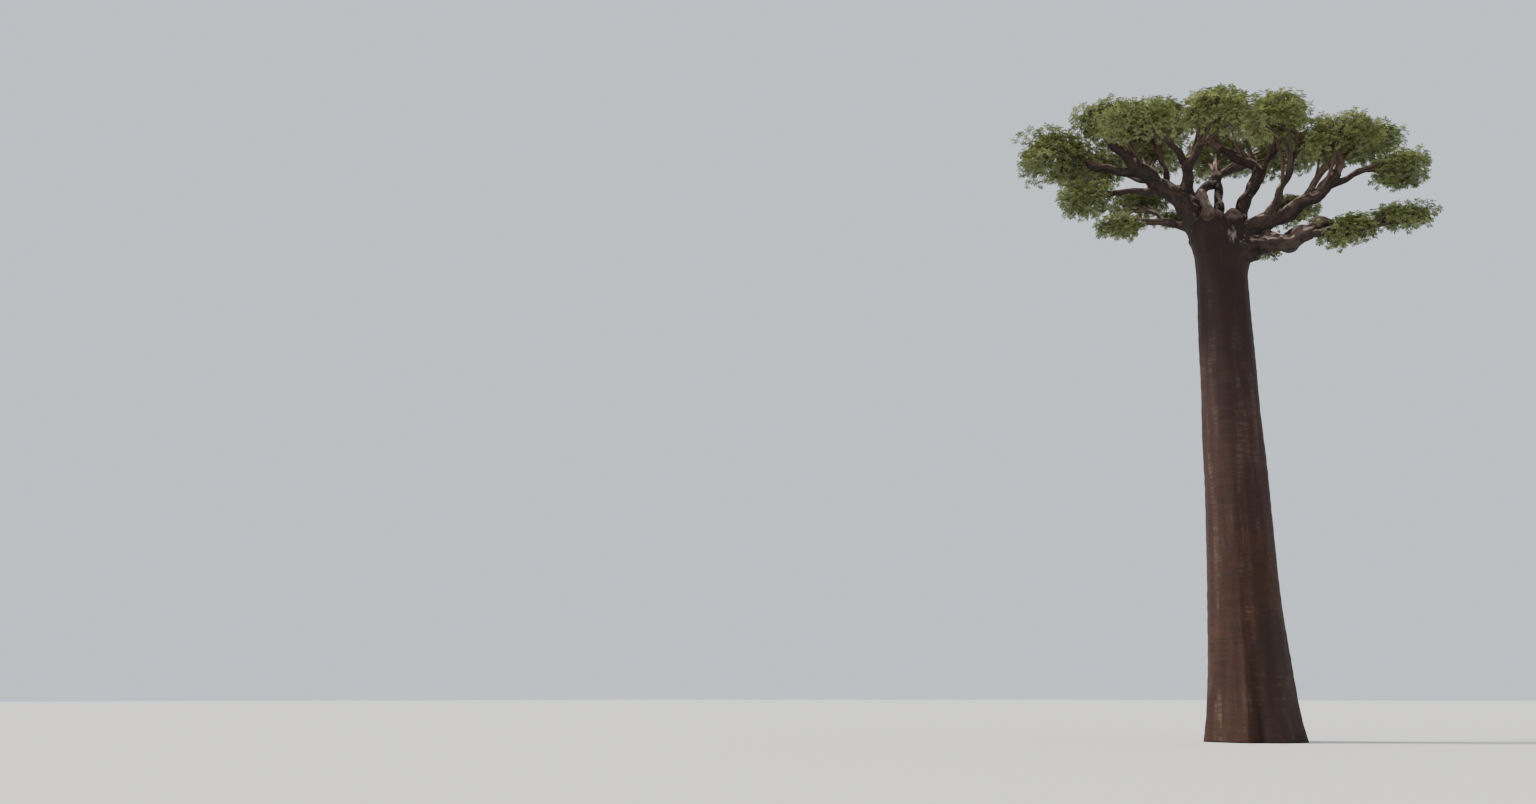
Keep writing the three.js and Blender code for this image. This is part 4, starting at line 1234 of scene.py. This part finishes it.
def grow_mass(name, seed):
    """The twigs of a mass from the leader down to the tufts, each level as (lines, radius at the root,
    radius at the tip, corners round), and the number and height of the tuft that each of the last is in."""
    leader, sides = stem_paths(name, seed)
    feeders = feeder_paths(name, seed)
    thick = bough_lines[name]["radii"][-1] * LEADER_FORM[0]
    twigs = [(leader[None], thick, *LEADER_FORM[1:]), (sides, *SIDE_FORM), (feeders, *FEEDER_FORM)]
    paths = [leader[len(leader) // 2 :], *sides, *feeders]
    for number, level in enumerate(LEVELS):
        paths = grow_level(name, seed, number, paths)
        twigs.append((paths, *level["form"]))
    paths, tufts, heights = grow_tufts(name, seed, paths)
    return {"twigs": [*twigs, (paths, *TUFT_FORM)], "tufts": tufts, "heights": heights}


seeds = {name: seed for seed, name in enumerate((name for name in BOUGHS if name in MASSES), 1)}
growth = {name: grow_mass(name, seed) for name, seed in seeds.items()}
print("twigs that carry leaves:", sum(len(grown["tufts"]) for grown in growth.values()))

# %% [markdown]
# A twig is a thin tube, and there are thousands, so the lines of a level are one array, and the ring of
# corners round every point of every line is one more dimension of it. The coarse twigs have eight or ten
# corners round and the finest three, which is enough where a twig is a millimetre in the picture.

# %% Skinning twigs in bulk
STEEP = 0.85  # a twig that climbs by more than this share of its length is steep
TWIG_SHIFT = 3.1  # so that no two twigs show the same stretch of the pattern


def twig_rings(paths, root_radius, tip_radius, sides):
    """Rings round each point of each line, as an array of twig, point, corner and coordinate."""
    along = np.gradient(paths, axis=1)
    along /= np.linalg.norm(along, axis=2, keepdims=True)
    whole = paths[:, -1] - paths[:, 0]
    steep = np.abs(whole[:, 2]) > STEEP * np.linalg.norm(whole, axis=1)
    level = np.where(steep[:, None], [1.0, 0, 0], [0, 0, 1.0])
    side = np.cross(along, level[:, None])
    side /= np.linalg.norm(side, axis=2, keepdims=True)
    other = np.cross(along, side)
    a = np.linspace(0, 2 * np.pi, sides, endpoint=False)[None, None, :, None]
    radius = np.linspace(root_radius, tip_radius, paths.shape[1])[None, :, None, None]
    return paths[:, :, None] + radius * (np.cos(a) * side[:, :, None] + np.sin(a) * other[:, :, None])


def twig_limbs(twigs):
    """(rings, grain) for every twig of a mass. The grain runs along the twig."""
    limbs = []
    for paths, *form in twigs:
        for number, (line, ring) in enumerate(zip(paths, twig_rings(paths, *form))):
            run = np.linalg.norm(line - line[0], axis=1)
            along = (run[:, None, None] + TWIG_SHIFT * number) * np.array([0, 0, 1.0])
            limbs.append((ring, ring - line[:, None] + along))
    return limbs


for side, names in SIDES.items():
    limbs = [limb for name in names for limb in twig_limbs(growth[name]["twigs"])]
    bark_piece("twigs_" + side, limbs, twig_bark, ["foliage_" + name for name in names])

# %% [markdown]
# A baobab leaf is like a hand: five to seven leaflets spread from the end of one stalk, about 20 cm across,
# and the leaves crowd together at the ends of the twigs. One leaf is worked out in its own plane: each of
# five leaflets is two triangles that meet at its midrib, hang a little at the tip, and widen in the middle.
# Then every leaf of a mass is that one, turned and placed by whole-array sums.

# %% One leaf
LEAFLETS = np.radians([-112, -54, 0, 54, 112])
OUTER_SHORTER = 0.32
LEAFLET_WIDTH = 0.42
WIDEST_AT = 0.58
LEAF_DROOP = 0.22
FOLD = 0.10


def leaf_outline():
    """One leaf in its own axes (ahead, across, up), as corners and triangles. Corner 0 is where the leaflets
    meet, then come left edge, tip and right edge of each leaflet. The last triangle is the stalk, a thin
    wedge whose foot is the two corners after those."""
    ahead, across = np.cos(LEAFLETS), np.sin(LEAFLETS)
    size = 1 - OUTER_SHORTER * np.abs(LEAFLETS) / LEAFLETS.max()
    corners = [[0, 0, 0]]
    faces = []
    for a, b, s in zip(ahead, across, size):
        middle = np.array([a, b, 0]) * s * WIDEST_AT
        edge = np.array([-b, a, 0]) * s * LEAFLET_WIDTH / 2
        lift = np.array([0, 0, FOLD * s])
        tip = np.array([a * s, b * s, -LEAF_DROOP * s])
        k = len(corners)
        corners += [middle + edge + lift, tip, middle - edge + lift]
        faces += [[0, k + 1, k], [0, k + 2, k + 1]]
    faces.append([0, len(corners), len(corners) + 1])
    return np.array(corners), np.array(faces)


leaf_corners, leaf_faces = leaf_outline()
print("a leaf has", len(leaf_faces), "triangles")

# %% Where the leaves go
LEAF_RADIUS = 0.112
LEAF_SIZES = (0.8, 1.15)
STALK = (0.04, 0.08)
LEAVES_PER_TWIG = 7
TWIG_LEAFY = 0.09  # leaves sit along this much of the twig's end
OPEN_ANGLES = np.radians([30, 95])  # how far a leaf turns from its twig, at the end and furthest down
OPEN_VARIES = 0.35
RISE = np.array([0, 0, 0.35])  # how much the twig's end points up
HANG = np.array([0, 0, 0.25])  # how much a leaf points down
FACING = (0.5, 0.25)  # how much the face of a leaf leans towards the twig's end, and outwards
LEAF_GAPS = (0.0, 0.03)
LEAF_OVER = 0.08  # the tip of a leaf may reach this far through a wall
SKEW = [0.31, 0.17, 0.93]  # a slanted direction, to measure across a twig from


def leaf_places(name):
    """Where the leaves of a mass sit: for each, the foot of its stalk, its middle, its three axes, its size
    and its twig's number. Leaves wind round a twig's end by the golden angle, opening wider further down."""
    seed, paths = seeds[name], growth[name]["twigs"][-1][0]
    tips, before = paths[:, -1], paths[:, -2]
    number = np.repeat(np.arange(len(tips)), LEAVES_PER_TWIG)
    order = np.tile(np.arange(LEAVES_PER_TWIG), len(tips))
    down = order / LEAVES_PER_TWIG
    axis = unit(unit(tips - before) + RISE)[number]
    side = unit(np.cross(axis, SKEW))
    other = np.cross(axis, side)
    turn = order * GOLDEN_ANGLE + 2 * np.pi * chance(seed, number, USES["leaf_turn"])
    luck = chance(seed, number * 17 + order, USES["leaf_opening"]) - 0.5
    open_by = between(OPEN_ANGLES, down) + OPEN_VARIES * luck
    out = np.cos(turn)[:, None] * side + np.sin(turn)[:, None] * other
    stalk = unit(np.cos(open_by)[:, None] * axis + np.sin(open_by)[:, None] * out)
    foot = tips[number] - axis * (TWIG_LEAFY * down)[:, None]
    long = between(STALK, chance(seed, number * 13 + order, USES["leaf_stalk"]))
    middle = foot + stalk * long[:, None]
    ahead = unit(stalk - HANG)
    up = unit(np.array([0, 0, 1.0]) + FACING[0] * axis + FACING[1] * out)
    up = unit(up - (up * ahead).sum(axis=1, keepdims=True) * ahead)
    size = LEAF_RADIUS * between(LEAF_SIZES, chance(seed, number * 7 + order, USES["leaf_size"]))
    far = middle + ahead * size[:, None]
    keep = has_room(name, middle, LEAF_GAPS) & within(name, far, -LEAF_OVER)
    return [v[keep] for v in (foot, middle, ahead, np.cross(up, ahead), up, size, number)]


print("a leaf is", 2 * LEAF_RADIUS, "m across, and a twig's end carries up to", LEAVES_PER_TWIG)

# %% [markdown]
# In the crown the light picks out yellow-green sprays at the top, and the ones under them are a deeper
# green. That light and shade is painted here: each leaf is dealt one of five plain greens by how high it sits
# in its spray and a little by how high it is in its mass, paler above and deeper below, and by chance for its
# spray, which is the leaves' own unevenness. The underside of a leaf is a duller, paler green than its face,
# partly its own colour and partly painted light in place of light that shines through the leaf.

# %% Leaf greens
LEAF_GREENS = {
    "leaf_deep": (0.034, 0.050, 0.016),
    "leaf_dark": (0.092, 0.122, 0.036),
    "leaf_green": (0.172, 0.208, 0.058),
    "leaf_bright": (0.305, 0.350, 0.100),
    "leaf_yellow": (0.430, 0.462, 0.158),
}
DARKER = 0.72  # each green is uneven, between itself and this share of it
UNEVEN = ((1.7, 1.7, 1.7), 2)
UNEVEN_LIMITS = (0.35, 0.65)
# The underside's paler green is partly the leaf's own and partly painted light in place of light through the
# leaf.
UNDERSIDE = (0.225, 0.262, 0.108, 1)
UNDERSIDE_STRENGTH = 0.5
LEAF_ROUGHNESS = 0.5
LEAF_GLOSS = 0.35
# A leaf's shade, from 0 for the deepest green to 1: what all start from, and how much the leaf's height in
# its mass, its spray's chance and its height in its spray add. The two heights add painted light and shade.
SHADES = (0.5, 0.1, 0.3, 0.55)
SPRAY_HEIGHT = 0.3


def make_unevenness():
    """The group: Place goes in, and a Mask of soft patches comes out."""
    group, inside = new_group("unevenness", {"Place": "Vector"}, ["Mask"])
    patches = stretched_noise(group, inside["Place"], *UNEVEN)
    add_node(group, "NodeGroupOutput", Mask=between_limits(group, patches, *UNEVEN_LIMITS))
    return group


def leaf_material(name, colour):
    """A leaf's face in one green, a little uneven from spray to spray, with a paler underside that is partly
    painted light.
    """
    material, tree, shader = new_material(name, LEAF_ROUGHNESS, LEAF_GLOSS)
    uneven = place_group(tree, unevenness, Place=object_place(tree))["Mask"]
    face = mix(tree, uneven, (*[DARKER * c for c in colour], 1), (*colour, 1))
    back = add_node(tree, "ShaderNodeNewGeometry").outputs["Backfacing"]
    give(tree, shader["Base Color"], mix(tree, times(tree, back, UNDERSIDE_STRENGTH), face, UNDERSIDE))
    return material


def deal_greens(name, middles, number):
    """The number of each leaf's green: painted light and shade from its height in its mass and in its spray,
    and its own tone by the chance of its spray."""
    centre, half = middle_and_half(name)
    height = (middles[:, 2] - centre[2]) / half[2]
    above = (middles[:, 2] - growth[name]["heights"][number]) / SPRAY_HEIGHT
    luck = chance(seeds[name], growth[name]["tufts"][number], USES["spray_green"]) - 0.5
    # The two heights paint light at the top and shade below. The spray's chance is the leaves' own tone.
    shade = SHADES[0] + SHADES[1] * height + SHADES[2] * luck + SHADES[3] * above
    return np.clip(shade * len(LEAF_GREENS), 0, len(LEAF_GREENS) - 1).astype(int)


unevenness = make_unevenness()
leaf_materials = [leaf_material(name, colour) for name, colour in LEAF_GREENS.items()]
print("leaf greens:", list(LEAF_GREENS))

# %% The leaves as pieces
STALK_WIDTH = 0.005


def leaf_mesh(name):
    """Corners, triangles and green numbers of all leaves of a mass."""
    foot, middle, ahead, across, up, size, number = leaf_places(name)
    axes = np.stack([ahead, across, up], axis=1) * size[:, None, None]
    blades = middle[:, None] + leaf_corners @ axes
    stalk_side = unit(np.cross(middle - foot, [0, 0, 1.0]))[:, None] * STALK_WIDTH / 2
    corners = np.concatenate([blades, foot[:, None] - stalk_side, foot[:, None] + stalk_side], axis=1)
    shift = (np.arange(len(middle)) * corners.shape[1])[:, None, None]
    greens = np.repeat(deal_greens(name, middle, number), len(leaf_faces))
    return corners.reshape(-1, 3), (leaf_faces[None] + shift).reshape(-1, 3), greens


leaf_count = 0
for side, names in SIDES.items():
    corners, faces, greens = join([leaf_mesh(name) for name in names])
    nodes = ["foliage_" + name for name in names]
    mesh = make_piece("leaves_" + side, corners, faces, leaf_materials, nodes)
    fill(mesh.polygons, "material_index", greens, np.int32)
    leaf_count += len(faces) // len(leaf_faces)
print("the tree has", leaf_count, "leaves")
